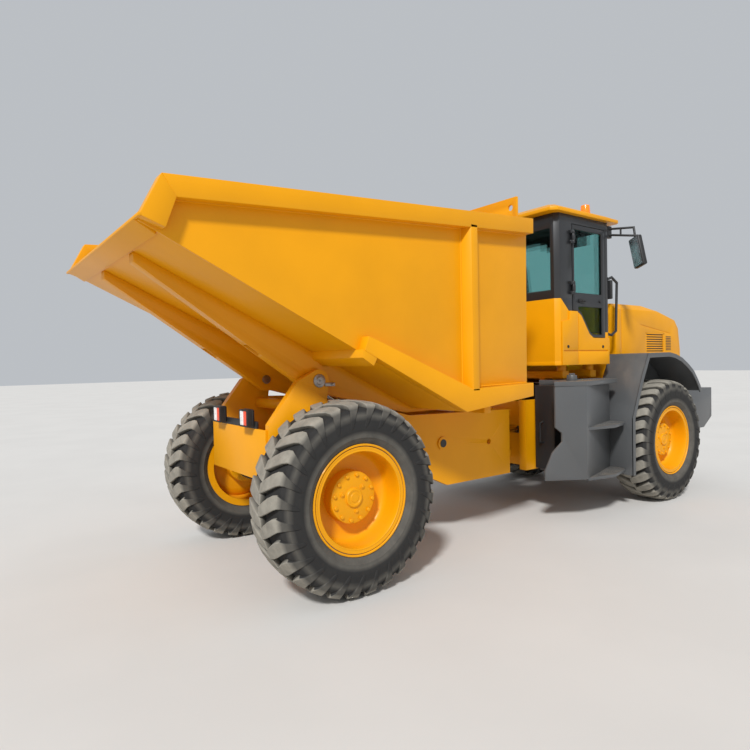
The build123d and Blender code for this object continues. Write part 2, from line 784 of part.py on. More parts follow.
def front_side():
    """Left side plate with its rear post, steering cylinder's bracket and cab stands."""
    inner = front_plate_outer - front_plate_thickness
    outline = (
        (front_frame_rear, front_frame_bottom), (wheelbase - 526, front_frame_bottom),
        (wheelbase - 306, front_frame_over_axle), (wheelbase + 314, front_frame_over_axle),
        (wheelbase + 474, front_frame_nose_bottom), (front_frame_front, front_frame_nose_bottom),
        (front_frame_front, front_frame_top), (front_frame_rear, front_frame_top),
    )
    side = side_plate(outline, inner, front_plate_outer)
    side = side + block(front_frame_rear, front_frame_rear + front_plate_thickness, post_return_inner,
                        front_plate_outer, front_frame_bottom, front_frame_top)
    wall_inner = steer_y - steer_bracket_half - 25
    side = side + block(steer_wall_x, steer_wall_x + 22, wall_inner, inner + 1, steer_z - 140, steer_z + 140)
    half = steer_eye_height / 2 + running_clearance
    for low in (steer_z - half - steer_bracket_plate, steer_z + half):
        side = side + block(steer_foot_x - steer_bracket_half, steer_wall_x + 1, steer_y - steer_bracket_half,
                            inner + 1, low, low + steer_bracket_plate)
    side = side + rod((steer_foot_x, steer_y, steer_z - half - 2), (steer_foot_x, steer_y, steer_z + half + 2),
                      steer_pin_radius)
    width = cab_mount_radius + 5
    for x in cab_mounts_x:
        side = side + block(x - width, x + width, inner - 40, front_plate_outer, front_frame_top - 1,
                            cab_beam_bottom)
    return side


def hinge_tongues():
    """Wall across the front frame with the two tongues of the articulation."""
    inner = front_plate_outer - front_plate_thickness
    wall = block(tongue_plate_x, tongue_plate_x + coupling_plate_thickness, -inner, inner,
                 front_frame_bottom + 30, front_frame_top - 20)
    wall = wall - rod((tongue_plate_x - 5, 0, shaft_z_pivot + 15), (tongue_plate_x + 60, 0, shaft_z_pivot + 15),
                      shaft_hole_radius)
    near, far = steer_slot
    slot = block(tongue_plate_x - 5, tongue_plate_x + 60, near, far, steer_z - 36, steer_z + 36)
    wall = wall - slot - other_side(slot)
    for level in hinge_level.values():
        wall = wall + lug(tongue_plate_x, pivot_x, tongue_root_half, pivot_lug_radius,
                          level - tongue_plate / 2, level + tongue_plate / 2)
    return wall - rod((pivot_x, 0, front_frame_bottom), (pivot_x, 0, front_frame_top),
                      pivot_pin_radius + running_clearance)


def front_cross_members():
    """Tongue wall, nose plate and cab beams, welded between and over the side plates."""
    inner = front_plate_outer - front_plate_thickness
    nose = block(front_frame_front - front_plate_thickness, front_frame_front, -inner, inner,
                 front_frame_nose_bottom, front_frame_top)
    width = cab_mount_radius + 5
    beams = [block(x - width, x + width, -cab_mount_y - width, cab_mount_y + width, cab_beam_bottom,
                   cab_beam_bottom + cab_cross_height) for x in cab_mounts_x]
    return group([hinge_tongues(), nose] + beams)


def hood_cowl():
    """Fixed band behind the hood with its firewall, sills and hood hinge lugs."""
    front = hood_seam - moving_gap
    band = hood_section(hood_rear, front, 0)
    band = band - hood_section(hood_rear + firewall_thickness, front + 1, hood_wall)
    band = band - block(hood_rear - 1, hood_rear + firewall_thickness + 1, -hood_half + hood_wall,
                        hood_half - hood_wall, 0, firewall_bottom)
    sill = block(hood_rear, front, front_plate_outer - front_plate_thickness, hood_half, front_frame_top,
                 hood_bottom + 1)
    x, z = hood_hinge_axis()
    lugs = []
    for low in (hood_hinge_y - hood_hinge_length / 2, hood_hinge_y + hood_hinge_length / 6):
        high = low + hood_hinge_length / 3
        lugs.append(rod((x, low, z), (x, high, z), hood_hinge_radius))
        lugs.append(block(x - 50, x, low, high, hood_top - 1, z))
    pin = rod((x, hood_hinge_y - hood_hinge_length / 2, z), (x, hood_hinge_y + hood_hinge_length / 2, z),
              hood_pin_radius)
    return join([band, both(sill), both(join(lugs)), both(pin)])


def hood_hinge_axis():
    """Place of the hood's hinge line, just above the seam behind the hood."""
    return hood_seam - moving_gap / 2, hood_top + hood_hinge_rise


def hood_section(x_from, x_to, inset):
    """Straight stretch of the hood's cross-section, narrowed by an inset."""
    half, crown = hood_half - inset, hood_crown_half - inset * 0.6
    top, shoulder = hood_top - inset, hood_shoulder - inset * 0.6
    bottom = hood_bottom - (inset > 0) * 50
    return front_plate(((-half, bottom), (half, bottom), (half, shoulder), (crown, top), (-crown, top),
                        (-half, shoulder)), x_from, x_to)


def hood_form(inset):
    """Whole hood as a solid form: straight part, sloping nose and rounded front."""
    top_cut = side_plate(((hood_slope_start, hood_top - inset), (hood_slope_end, hood_top - hood_slope_drop - inset),
                          (hood_front - inset, hood_top - hood_slope_drop - 150 - inset),
                          (hood_front + 200, hood_top - hood_slope_drop - 150 - inset),
                          (hood_front + 200, hood_top + 100), (hood_slope_start, hood_top + 100)),
                         -hood_half - 50, hood_half + 50)
    return hood_section(hood_seam - (inset > 0) * 20, hood_front - inset, inset) - top_cut


def hood_shell():
    """Opening hood with its side and front grille openings."""
    shell = hood_form(0) - hood_form(hood_wall)
    x0, x1, z0, z1 = side_grille
    shell = shell - block(x0, x1, -hood_half - 10, hood_half + 10, z0, z1)
    low, high = front_grille_z
    shell = shell - block(hood_front - hood_wall - 60, hood_front + 10, -front_grille_half, front_grille_half,
                          low, high)
    x, z = hood_hinge_axis()
    third = hood_hinge_length / 6 - 1
    knuckle = rod((x, hood_hinge_y - third, z), (x, hood_hinge_y + third, z), hood_hinge_radius)
    strap = block(x, x + 60, hood_hinge_y - third, hood_hinge_y + third, hood_top - 1, z)
    bore = rod((x, hood_hinge_y - 30, z), (x, hood_hinge_y + 30, z), hood_pin_radius + running_clearance)
    return shell + both(knuckle + strap - bore)


def hood_grilles():
    """Slatted panels set in the hood's three openings."""
    x0, x1, z0, z1 = side_grille
    low, high = front_grille_z
    thick = hood_wall - 5
    side = slatted(x0 + seam, x1 - seam, z0 + seam, z1 - seam)
    side = Pos(0, hood_half - thick, 0) * side_frame(side, thick)
    front = front_slats(front_grille_half - seam, low + seam, high - seam, thick)
    front = Pos(hood_front - thick, 0, 0) * front
    return group([side, other_side(side), front])


def slatted(x0, x1, z0, z1):
    """Frame and slats as (x0, x1, z0, z1) bars of a side grille."""
    bars = [(x0, x1, z0, z0 + grille_frame), (x0, x1, z1 - grille_frame, z1),
            (x0, x0 + grille_frame, z0, z1), (x1 - grille_frame, x1, z0, z1)]
    count = int((z1 - z0 - 2 * grille_frame) / slat_pitch)
    pitch = (z1 - z0 - grille_frame) / (count + 1)
    for index in range(1, count + 1):
        level = z0 + index * pitch
        bars.append((x0 + 1, x1 - 1, level, level + grille_frame))
    return bars


def side_frame(bars, thick):
    """Side grille from its list of bars."""
    return join([block(x0, x1, 0, thick, z0, z1) for x0, x1, z0, z1 in bars])


def front_slats(half, z0, z1, thick):
    """Front grille: frame and slats across the nose."""
    bars = slatted(-half, half, z0, z1)
    return join([block(0, thick, y0, y1, low, high) for y0, y1, low, high in bars])


def powertrain_block():
    """Engine, converter and drop box as one plain block, with the engine's feet."""
    boxes = [block(x0, x1, -half, half, z0, z1) for x0, x1, half, z0, z1 in (engine_box, converter_box, drop_box)]
    inner = front_plate_outer - front_plate_thickness
    low, high = engine_foot_z
    feet = [both(block(x, x + engine_foot_length, engine_box[2] - 1, inner - seam, low, high))
            for x in engine_feet_x]
    return join(boxes + feet)


def counterweight():
    """Heavy front bumper around the end of the frame, with a raked chin."""
    gap = 4
    body = side_plate(((counterweight_rear, counterweight_bottom), (counterweight_chin[0], counterweight_bottom),
                       (counterweight_front, counterweight_chin[1]), (counterweight_front, counterweight_top),
                       (counterweight_rear, counterweight_top)), -counterweight_half, counterweight_half)
    slot = block(counterweight_rear - 1, front_frame_front + seam, -front_plate_outer - gap,
                 front_plate_outer + gap, counterweight_bottom - 10, counterweight_top + 10)
    return body - slot


def step_tank():
    """Right-hand tank with its lid, filler cap, recessed flank and two steps."""
    x_corner, y_corner = tank_corner
    x_rear, y_rear = tank_rear_corner
    slope = (y_rear - y_corner) / (x_rear - x_corner)
    x_tail = x_rear - 150
    y_tail = y_rear + (x_tail - x_rear) * slope
    plan = ((x_tail, y_tail), tank_corner, (tank_front_x, tank_recess_y), (tank_front_x, tank_inner_y),
            (2500, tank_inner_y), (2400, -525), (x_rear, -645), (x_tail, y_tail + 14))
    body_top = tank_top - tank_lid_thickness
    tank = plan_plate(plan, tank_bottom, body_top)
    notch = side_plate(((x_tail - 10, 620), (x_rear - 90, 650), (x_rear + 60, 780), (x_rear + 60, 890),
                        (x_rear, 945), (x_rear, body_top + 10), (x_tail - 10, body_top + 10)), -1100, -300)
    tank = tank - notch
    lid = plan_plate(((x_rear - 12, y_rear), tank_corner, lid_end, (3300, tank_inner_y), (2500, tank_inner_y),
                      (2400, -525), (x_rear - 12, -645)), body_top, tank_top)
    lid = lid - block(tank_front_x - 1, 3500, -1100, -300, body_top - 1, tank_top + 1)
    parts = [tank, lid]
    for level in step_levels:
        parts.append(plan_plate(((2530, -985), (2860, -1045), (3150, -975), (tank_front_x, -930),
                                 (tank_front_x, tank_recess_y + 5), (2530, -960)), level - step_thickness, level))
    cap_x, cap_y = 2560, -800
    parts.append(rod((cap_x, cap_y, tank_top - 1), (cap_x, cap_y, tank_top + filler_cap_height),
                     filler_cap_radius))
    return join(parts)


def front_fender():
    """Right-hand fender: bent sheet over the wheel with a deep rim and an inner wall."""
    sheet = ribbon(fender_profile, fender_skin, -fender_outer, -fender_inner)
    rim_sheet = ribbon(fender_profile, fender_rim, -fender_outer, -fender_outer + 14)
    start, end = fender_profile[2][0], fender_profile[-1][0]
    wall = side_plate(list(fender_profile[2:]) + [(end, front_frame_top), (start, front_frame_top)],
                      -fender_inner - 12, -fender_inner)
    ledge = block(start + 5, end - 5, -fender_inner - 12, -front_plate_outer, front_frame_top - fender_ledge,
                  front_frame_top)
    shelf = block(tank_front_x + seam, start + 30, -fender_inner - 10, -front_plate_outer,
                  fender_shelf_z - fender_ledge, fender_shelf_z)
    tongue = block(tank_front_x, tank_front_x + fender_skin, -fender_inner - 5, -front_plate_outer,
                   front_frame_bottom + 30, fender_shelf_z)
    return join([sheet, rim_sheet, wall, ledge, shelf, tongue])


# Cab

def cab_outline(inset):
    """Plan outline of the cab with its rear corners cut off."""
    half, rear, front = cab_half - inset, cab_rear + inset, cab_front - inset
    cut = cab_chamfer - inset * 0.4
    return ((rear, -half + cut), (rear + cut, -half), (front, -half), (front, half), (rear + cut, half),
            (rear, half - cut))


def cab_ring(z_from, z_to, wall):
    """Closed ring with the cab's outline."""
    return plan_plate(cab_outline(0), z_from, z_to) - plan_plate(cab_outline(wall), z_from - 1, z_to + 1)


def door_outline(grow):
    """Side outline of the right-hand door, grown or shrunk all round."""
    return ((door_rear - grow, cab_roof_rail + grow), (door_front + grow, cab_roof_rail + grow),
            (door_front + grow, door_bottom - grow), (door_kink[0] - grow * 0.6, door_bottom - grow),
            (door_kink[1] - grow, door_kink_z - grow * 0.4), (door_rear - grow, door_rear_z - grow * 0.4))


def cab_body(z_from, z_to, wall):
    """Cab walls between two levels with the door openings cut."""
    ring = cab_ring(z_from, z_to, wall)
    opening = side_plate(door_outline(0), -cab_half - 5, -cab_half + wall + 5)
    return ring - opening - other_side(opening)


def cab_frame():
    """Dark upper structure: posts, roof rail, window surrounds and door hinges."""
    upper = cab_body(rear_window_bottom, cab_top, cab_wall)
    rear_window = block(cab_rear - 5, cab_rear + cab_wall + 5, -rear_window_half, rear_window_half,
                        rear_window_bottom + 50, cab_roof_rail)
    screen = block(cab_front - cab_wall - 5, cab_front + 5, -cab_half + front_post, cab_half - front_post,
                   rear_window_bottom - 5, cab_roof_rail)
    upper = upper - rear_window - screen
    post = block(door_front, cab_front, cab_half - cab_wall, cab_half, front_panel_top, rear_window_bottom + 1)
    nose = block(cab_front - cab_wall, cab_front, cab_half - front_post, cab_half, front_panel_top,
                 rear_window_bottom + 1)
    hinges = []
    for level in door_hinge_levels:
        hinges.append(hinge_fixed(level))
    return join([upper, both(post + nose)] + [both(hinge) for hinge in hinges])


def hinge_axis():
    """Place of the right-hand door's hinge line in plan."""
    return door_rear - 3, -cab_half - door_hinge_offset


def hinge_fixed(level):
    """Fixed leaf: two knuckles and the pin on the left of the machine."""
    x, y = hinge_axis()
    y = -y
    lugs = []
    for low in (level - 62, level + 32):
        lugs.append(rod((x, y, low), (x, y, low + 30), door_hinge_radius))
        lugs.append(block(x - 40, x, cab_half - 2, y + 6, low, low + 30))
    return join(lugs + [rod((x, y, level - 60), (x, y, level + 60), door_pin_radius)])


def door(side):
    """Door frame with its two window openings and hinge knuckles; side -1 is right."""
    outer = -cab_half - 3
    shell = side_plate(door_outline(-moving_gap), outer, outer + door_thickness)
    frame = door_frame
    upper = block(door_rear + frame, door_front - frame, outer - 5, outer + door_thickness + 5,
                  door_sill_z + door_sill_height / 2, cab_roof_rail - frame)
    lower_pane = ((door_rear + frame + 50, door_sill_z - door_sill_height / 2),
                  (door_front - frame, door_sill_z - door_sill_height / 2),
                  (door_front - frame, door_bottom + frame), (door_kink[0] + 25, door_bottom + frame),
                  (door_kink[1] + 50, door_kink_z + 25))
    lower = side_plate(lower_pane, outer - 5, outer + door_thickness + 5)
    leaf = shell - upper - lower
    x, y = hinge_axis()
    for level in door_hinge_levels:
        knuckle = rod((x, y, level - 30), (x, y, level + 30), door_hinge_radius)
        arm = block(x, door_rear + 45, y - 5, outer + 2, level - 30, level + 30)
        leaf = leaf + knuckle + arm
        leaf = leaf - rod((x, y, level - 35), (x, y, level + 35), door_pin_radius + running_clearance)
    return leaf if side < 0 else other_side(leaf)


def door_glass(side):
    """Panes that fill the door's two openings."""
    frame = door_frame
    mid = -cab_half - 3 + door_thickness / 2
    upper = block(door_rear + frame, door_front - frame, mid - glass_thickness / 2, mid + glass_thickness / 2,
                  door_sill_z + door_sill_height / 2, cab_roof_rail - frame)
    lower_pane = ((door_rear + frame + 50, door_sill_z - door_sill_height / 2),
                  (door_front - frame, door_sill_z - door_sill_height / 2),
                  (door_front - frame, door_bottom + frame), (door_kink[0] + 25, door_bottom + frame),
                  (door_kink[1] + 50, door_kink_z + 25))
    lower = side_plate(lower_pane, mid - glass_thickness / 2, mid + glass_thickness / 2)
    panes = group([upper, lower])
    return panes if side < 0 else group([other_side(pane) for pane in (upper, lower)])


def cab_tub():
    """Floor on its four mounts, with the painted lower walls and their stepped upper edge."""
    low = cab_floor + cab_floor_thickness
    floor = plan_plate(cab_outline(0), cab_floor, low)
    skirt = cab_body(low - 1, rear_window_bottom, cab_wall)
    front_gap = block(door_front - 1, cab_front + 5, -cab_half - 5, cab_half + 5, front_panel_top,
                      rear_window_bottom + 5)
    beam_top = cab_beam_bottom + cab_cross_height
    mounts = [rod((x, y, beam_top), (x, y, cab_floor + 1), cab_mount_radius)
              for x in cab_mounts_x for y in (-cab_mount_y, cab_mount_y)]
    return join([floor, skirt - front_gap] + mounts)


def cab_roof():
    """Overhanging roof with a low crown."""
    half = cab_half + roof_overhang_side
    rear, front = cab_rear - roof_overhang_rear, cab_front + roof_overhang_front
    edge = plan_plate(((rear, -half + 110), (rear + 110, -half), (front - 60, -half), (front, -half + 60),
                       (front, half - 60), (front - 60, half), (rear + 110, half), (rear, half - 110)),
                      cab_top, cab_top + roof_edge)
    inset = 90
    base = Face(Wire.make_polygon([Vector(x, y, cab_top + roof_edge) for x, y in
                                   ((rear + 10, -half + 110), (rear + 110, -half + 10), (front - 60, -half + 10),
                                    (front - 10, -half + 60), (front - 10, half - 60), (front - 60, half - 10),
                                    (rear + 110, half - 10), (rear + 10, half - 110))], close=True))
    top = Face(Wire.make_polygon([Vector(x, y, cab_top + roof_edge + roof_crown) for x, y in
                                  ((rear + inset, -half + 130 + inset / 2), (rear + 110 + inset / 2, -half + inset),
                                   (front - 60 - inset / 2, -half + inset), (front - inset, -half + 60 + inset / 2),
                                   (front - inset, half - 60 - inset / 2), (front - 60 - inset / 2, half - inset),
                                   (rear + 110 + inset / 2, half - inset), (rear + inset, half - 130 - inset / 2))],
                                 close=True))
    crown = Solid.make_loft([base.outer_wire(), top.outer_wire()], ruled=True)
    return edge + crown


def cab_glass():
    """Windscreen and rear window."""
    rear_x = cab_rear + cab_wall / 2
    rear = block(rear_x - glass_thickness / 2, rear_x + glass_thickness / 2, -rear_window_half, rear_window_half,
                 rear_window_bottom + 50, cab_roof_rail)
    front_x = cab_front - cab_wall / 2
    screen = block(front_x - glass_thickness / 2, front_x + glass_thickness / 2, -cab_half + front_post,
                   cab_half - front_post, front_panel_top, cab_roof_rail)
    return group([rear, screen])


def driver_seat():
    """Seat base, cushion and backrest."""
    floor = cab_floor + cab_floor_thickness
    seat_z = floor + seat_base_height
    x0, x1 = seat_base
    base = block(x0, x1, -seat_base_half, seat_base_half, floor, seat_z)
    x0, x1 = seat_cushion
    cushion = block(x0, x1, -seat_cushion_half, seat_cushion_half, seat_z, seat_z + seat_cushion_height)
    low, high = seat_z + 70, seat_z + 70 + seat_back_height
    back = side_plate(((x0, low), (x0 + seat_back_thickness, low),
                       (x0 + seat_back_thickness - seat_back_lean, high), (x0 - seat_back_lean, high)),
                      -seat_back_half, seat_back_half)
    return join([base, cushion, back])


def dash_console():
    """Console ahead of the seat with its steering column and wheel."""
    floor = cab_floor + cab_floor_thickness
    front = cab_front - cab_wall
    rear = console_rear
    console = side_plate(((front, floor), (front, floor + console_height - 140), (rear + 50, floor + console_height),
                          (rear, floor + console_height - 40), (rear + 40, floor)), -console_half, console_half)
    hub_x, hub_rise = steering_wheel_at
    hub = Vector(hub_x, 0, floor + hub_rise)
    column = rod((hub_x + 85, 0, floor + console_height - 90), tuple(hub), column_radius)
    tilt = Plane(origin=hub, z_dir=Vector(-0.5, 0, 1))
    outer, rim_depth = steering_wheel_radius, steering_wheel_rim
    ring = tilt * (Cylinder(outer, rim_depth) - Cylinder(outer - rim_depth, rim_depth + 6))
    spokes = [tilt * (Rot(0, 0, angle) * (Pos(outer / 2 - 8, 0, 0) * Box(outer - 15, column_radius, 14)))
              for angle in (0, 120, 240)]
    return join([console, column, ring] + spokes)


def grab_rail():
    """Bent hand rail on the right front post."""
    y = -cab_half - 45
    wall_y = -cab_half
    low, high = grab_z
    return pipe(((grab_x, wall_y, low), (grab_x, y, low), (grab_x, y, high), (grab_x, wall_y, high)), grab_radius)


def mirrors_and_rails():
    """Mirror heads on two-bar arms, and the hand rails, at the front posts."""
    x, y, z = mirror_at
    depth, width, height = mirror_size
    root_x, root_z = mirror_arm_root
    head = block(x - depth / 2, x + depth / 2, -y - width / 2, -y + width / 2, z - height / 2, z + height / 2)
    stub_y = -cab_half - mirror_arm_stub
    upper = pipe(((root_x, -cab_half, root_z), (root_x, stub_y, root_z), (x, -y, root_z - 40), (x, -y, z)),
                 mirror_arm_radius)
    lower = pipe(((root_x, -cab_half, root_z - 90), (root_x, stub_y, root_z - 90), (x, -y, root_z - 120)),
                 mirror_arm_radius)
    mirror_head = join([head, upper, lower])
    rail = grab_rail()
    return group([mirror_head, other_side(mirror_head), rail, other_side(rail)])


def beacon():
    """Round warning beacon on the roof."""
    x, y = beacon_at
    top = cab_top + roof_edge + roof_crown
    return tapered((x, y, top), (x, y, top + beacon_height), beacon_radius, beacon_radius * 0.85)


def headlamps():
    """Round lamps let into the counterweight's front."""
    x = counterweight_front
    lamp = rod((x, headlamp_y, headlamp_z), (x + headlamp_proud, headlamp_y, headlamp_z), headlamp_radius)
    return group([lamp, other_side(lamp)])


# Pieces: one file each

def wheel_pieces():
    """Tyre and rim of each wheel, by name."""
    corners = (("rear_right", 0.0, -1), ("rear_left", 0.0, 1), ("front_right", wheelbase, -1),
               ("front_left", wheelbase, 1))
    pieces = {}
    for name, x, side in corners:
        for kind, make in (("tyre", tyre), ("rim", rim)):
            shape = make() if side > 0 else other_side(make())
            pieces[f"{kind}_{name}"] = Pos(x, side * track_half, tyre_radius) * shape
    return pieces


left_rail = frame_rail()
left_side = front_side()
right_tank = step_tank()
right_fender = front_fender()

pieces = {
    "rear_rails": group([left_rail, other_side(left_rail)]),
    "rear_cross_members": rear_cross_members(),
    "pivot_pins": pivot_pins(),
    "rear_axle": group([axle(0.0, 1, rail_inner, rail_width, rail_over_axle), rear_shaft()]),
    "tail_lamps": tail_lamps(),
    "front_side_plates": group([left_side, other_side(left_side)]),
    "front_cross_members": front_cross_members(),
    "front_axle": front_axle(),
    "front_driveshaft": front_driveshaft(),
    "powertrain_block": powertrain_block(),
    "counterweight": counterweight(),
    "headlamps": headlamps(),
    "step_tanks": group([right_tank, other_side(right_tank)]),
    "front_fenders": group([right_fender, other_side(right_fender)]),
    "hood_cowl": hood_cowl(),
    "hood_shell": hood_shell(),
    "hood_grilles": hood_grilles(),
    "cab_frame": cab_frame(),
    "cab_tub": cab_tub(),
    "cab_roof": cab_roof(),
    "cab_glass": cab_glass(),
    "driver_seat": driver_seat(),
    "dash_console": dash_console(),
    "mirrors_and_rails": mirrors_and_rails(),
    "beacon": beacon(),
    "door_right": door(-1),
    "door_left": door(1),
    "door_glass_right": door_glass(-1),
    "door_glass_left": door_glass(1),
    "dump_body": dump_body(),
    "dump_underframe": dump_underframe(),
    "hoist_barrels": group([hoist_barrel(-1), hoist_barrel(1)]),
    "hoist_rods": group([hoist_rod(-1), hoist_rod(1)]),
    "steer_barrel_right": steer_barrel(-1),
    "steer_barrel_left": steer_barrel(1),
    "steer_rod_right": steer_rod(-1),
    "steer_rod_left": steer_rod(1),
}
pieces.update(wheel_pieces())

for name, shape in pieces.items():
    export_step(Pos(-middle_x, 0, 0) * shape, f"parts/{name}.step")
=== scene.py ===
"""Looks of an articulated mining dump truck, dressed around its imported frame.

Lengths are in metres in the frame's own axes: +X to the engine hood, +Y to the
machine's left and +Z up, with the ground at zero.
"""

from __future__ import annotations

import json
import logging
import math
from dataclasses import dataclass, field
from enum import Enum
from typing import Callable, Iterable, Sequence

import bmesh
import bpy
from mathutils import Matrix, Vector

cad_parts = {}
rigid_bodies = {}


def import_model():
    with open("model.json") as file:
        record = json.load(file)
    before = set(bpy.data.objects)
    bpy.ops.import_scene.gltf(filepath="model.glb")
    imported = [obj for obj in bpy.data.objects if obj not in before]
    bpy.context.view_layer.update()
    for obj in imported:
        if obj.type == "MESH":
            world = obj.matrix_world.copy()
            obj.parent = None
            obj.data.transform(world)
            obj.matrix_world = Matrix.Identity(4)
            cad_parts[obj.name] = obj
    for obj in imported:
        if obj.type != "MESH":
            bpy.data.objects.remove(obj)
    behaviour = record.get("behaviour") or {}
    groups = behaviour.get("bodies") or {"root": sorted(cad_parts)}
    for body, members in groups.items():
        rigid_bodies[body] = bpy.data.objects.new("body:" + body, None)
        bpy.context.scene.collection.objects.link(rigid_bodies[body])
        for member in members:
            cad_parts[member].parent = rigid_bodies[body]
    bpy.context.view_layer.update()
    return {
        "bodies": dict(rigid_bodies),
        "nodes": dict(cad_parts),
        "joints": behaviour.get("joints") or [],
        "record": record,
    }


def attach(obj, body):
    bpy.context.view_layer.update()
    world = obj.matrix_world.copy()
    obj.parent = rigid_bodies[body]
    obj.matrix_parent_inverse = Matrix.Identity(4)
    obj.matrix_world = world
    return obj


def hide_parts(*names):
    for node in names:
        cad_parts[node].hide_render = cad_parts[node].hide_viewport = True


LOG = logging.getLogger("dump_truck")
Point = Sequence[float]
Colour = tuple[float, float, float]

# Shapes are drawn in millimetres, x from the rear axle and z from the ground
MILLIMETRE = 0.001
MIDDLE_X = 2045
MIRROR_Y = Matrix.Scale(-1.0, 4, (0.0, 1.0, 0.0))


class Body(str, Enum):
    """Rigid bodies of the frame that pieces ride on."""

    REAR = "rear_chassis"
    FRONT = "front_chassis"
    BED = "dump_bed"
    HOOD = "hood"
    DOOR_RIGHT = "door_leaf_right"
    DOOR_LEFT = "door_leaf_left"


class Side(Enum):
    """Side of the machine, as the sign of Y."""

    RIGHT = -1
    LEFT = 1

    @property
    def word(self) -> str:
        """Name of the side in node names."""
        return self.name.lower()


class End(Enum):
    """End of the machine, as the x of its axle in millimetres."""

    REAR = 0.0
    FRONT = 3946.0

    @property
    def word(self) -> str:
        """Name of the end in node names."""
        return self.name.lower()


# Finishes


class Shader:
    """Small writer of node trees: adds nodes, links them and sets their inputs."""

    def __init__(self, name: str) -> None:
        """Start an empty material with a Principled shader on its output.

        Args:
            name: Name of the material.
        """
        self.material = bpy.data.materials.new(name)
        self.material.use_nodes = True
        self.tree = self.material.node_tree
        self.tree.nodes.clear()
        self.output = self.add("ShaderNodeOutputMaterial")
        self.principled = self.add("ShaderNodeBsdfPrincipled")
        self.link(self.principled, "BSDF", self.output, "Surface")
        self.place = self.add("ShaderNodeTexCoord")

    def add(self, kind: str, **inputs: object) -> bpy.types.Node:
        """Add a node and set its unlinked inputs.

        Args:
            kind: Blender's type name of the node.
            inputs: Values by input name, with underscores for spaces.

        Returns:
            The new node.
        """
        node = self.tree.nodes.new(kind)
        for key, value in inputs.items():
            node.inputs[key.replace("_", " ")].default_value = value
        return node

    def link(self, source: bpy.types.Node, out: str, target: bpy.types.Node, into: str | int) -> None:
        """Link an output to an input, both by name.

        Args:
            source: Node that gives.
            out: Name of its output.
            target: Node that takes.
            into: Name or number of its input.
        """
        self.tree.links.new(source.outputs[out], target.inputs[into])

    def noise(self, scale: float, detail: float = 3, roughness: float = 0.5) -> bpy.types.Node:
        """Add a noise texture on object coordinates.

        Args:
            scale: Waves per metre.
            detail: Octaves.
            roughness: Share of the finer octaves.

        Returns:
            The noise node.
        """
        node = self.add("ShaderNodeTexNoise", Scale=scale, Detail=detail, Roughness=roughness)
        self.link(self.place, "Object", node, "Vector")
        return node

    def ramp(self, source: bpy.types.Node, out: str, stops: Sequence[tuple[float, Colour]]) -> bpy.types.Node:
        """Add a colour ramp driven by an output.

        Args:
            source: Node that drives it.
            out: Name of the driving output.
            stops: Positions with their colours.

        Returns:
            The ramp node.
        """
        node = self.tree.nodes.new("ShaderNodeValToRGB")
        elements = node.color_ramp.elements
        while len(elements) < len(stops):
            elements.new(0.5)
        for element, (position, colour) in zip(elements, stops):
            element.position = position
            element.color = (*colour, 1.0)
        self.link(source, out, node, "Fac")
        return node

    def blend(self, share: object, first: object, second: object, kind: str = "MIX") -> bpy.types.NodeSocket:
        """Mix two colours.

        Args:
            share: Share of the second, as a number or a socket.
            first: Colour with alpha, or a socket.
            second: Colour with alpha, or a socket.
            kind: Blender's name of the blend.

        Returns:
            The socket of the mixed colour.
        """
        node = self.tree.nodes.new("ShaderNodeMix")
        node.data_type = "RGBA"
        node.blend_type = kind
        for index, value in ((0, share), (6, first), (7, second)):
            if isinstance(value, bpy.types.NodeSocket):
                self.tree.links.new(value, node.inputs[index])
            else:
                node.inputs[index].default_value = value
        return node.outputs[2]

    def bump(self, height: bpy.types.Node, strength: float, distance: float) -> None:
        """Drive the shader's normal with a height.

        Args:
            height: Node with a Fac or Color output.
            strength: Share of the full bump.
            distance: Depth in metres.
        """
        node = self.add("ShaderNodeBump", Strength=strength, Distance=distance)
        out = "Fac" if "Fac" in height.outputs else "Color"
        self.link(height, out, node, "Height")
        self.link(node, "Normal", self.principled, "Normal")


@dataclass(frozen=True)
class Paint:
    """Sprayed paint on steel, with a faint orange peel and dust where it settles."""

    name: str
    colour: Colour
    roughness: float = 0.34
    specular: float = 0.5
    coat: float = 0.25
    dust: float = 0.25
    dust_colour: Colour = (0.46, 0.36, 0.25)
    peel_scale: float = 220

    def material(self) -> bpy.types.Material:
        """Build the paint's material.

        Returns:
            The finished material.
        """
        shader = Shader(self.name)
        surface = shader.principled
        surface.inputs["Roughness"].default_value = self.roughness
        surface.inputs["Specular IOR Level"].default_value = self.specular
        surface.inputs["Coat Weight"].default_value = self.coat
        surface.inputs["Coat Roughness"].default_value = 0.12
        darker = tuple(0.93 * part for part in self.colour)
        cloudy = shader.ramp(shader.noise(2.2, 4), "Fac", ((0.35, darker), (0.65, self.colour)))
        facing = shader.add("ShaderNodeNewGeometry")
        split = shader.add("ShaderNodeSeparateXYZ")
        shader.link(facing, "Normal", split, "Vector")
        upward = shader.ramp(split, "Z", ((0.35, (0.0,) * 3), (1.0, (self.dust,) * 3)))
        patches = shader.ramp(shader.noise(7, 6, 0.6), "Fac", ((0.38, (0.15,) * 3), (0.72, (1.0,) * 3)))
        veil = shader.blend(1.0, upward.outputs["Color"], patches.outputs["Color"], "MULTIPLY")
        dusty = shader.blend(veil, cloudy.outputs["Color"], (*self.dust_colour, 1.0))
        shader.tree.links.new(dusty, surface.inputs["Base Color"])
        shader.bump(shader.noise(self.peel_scale, 2), 0.10, 0.0006)
        return shader.material


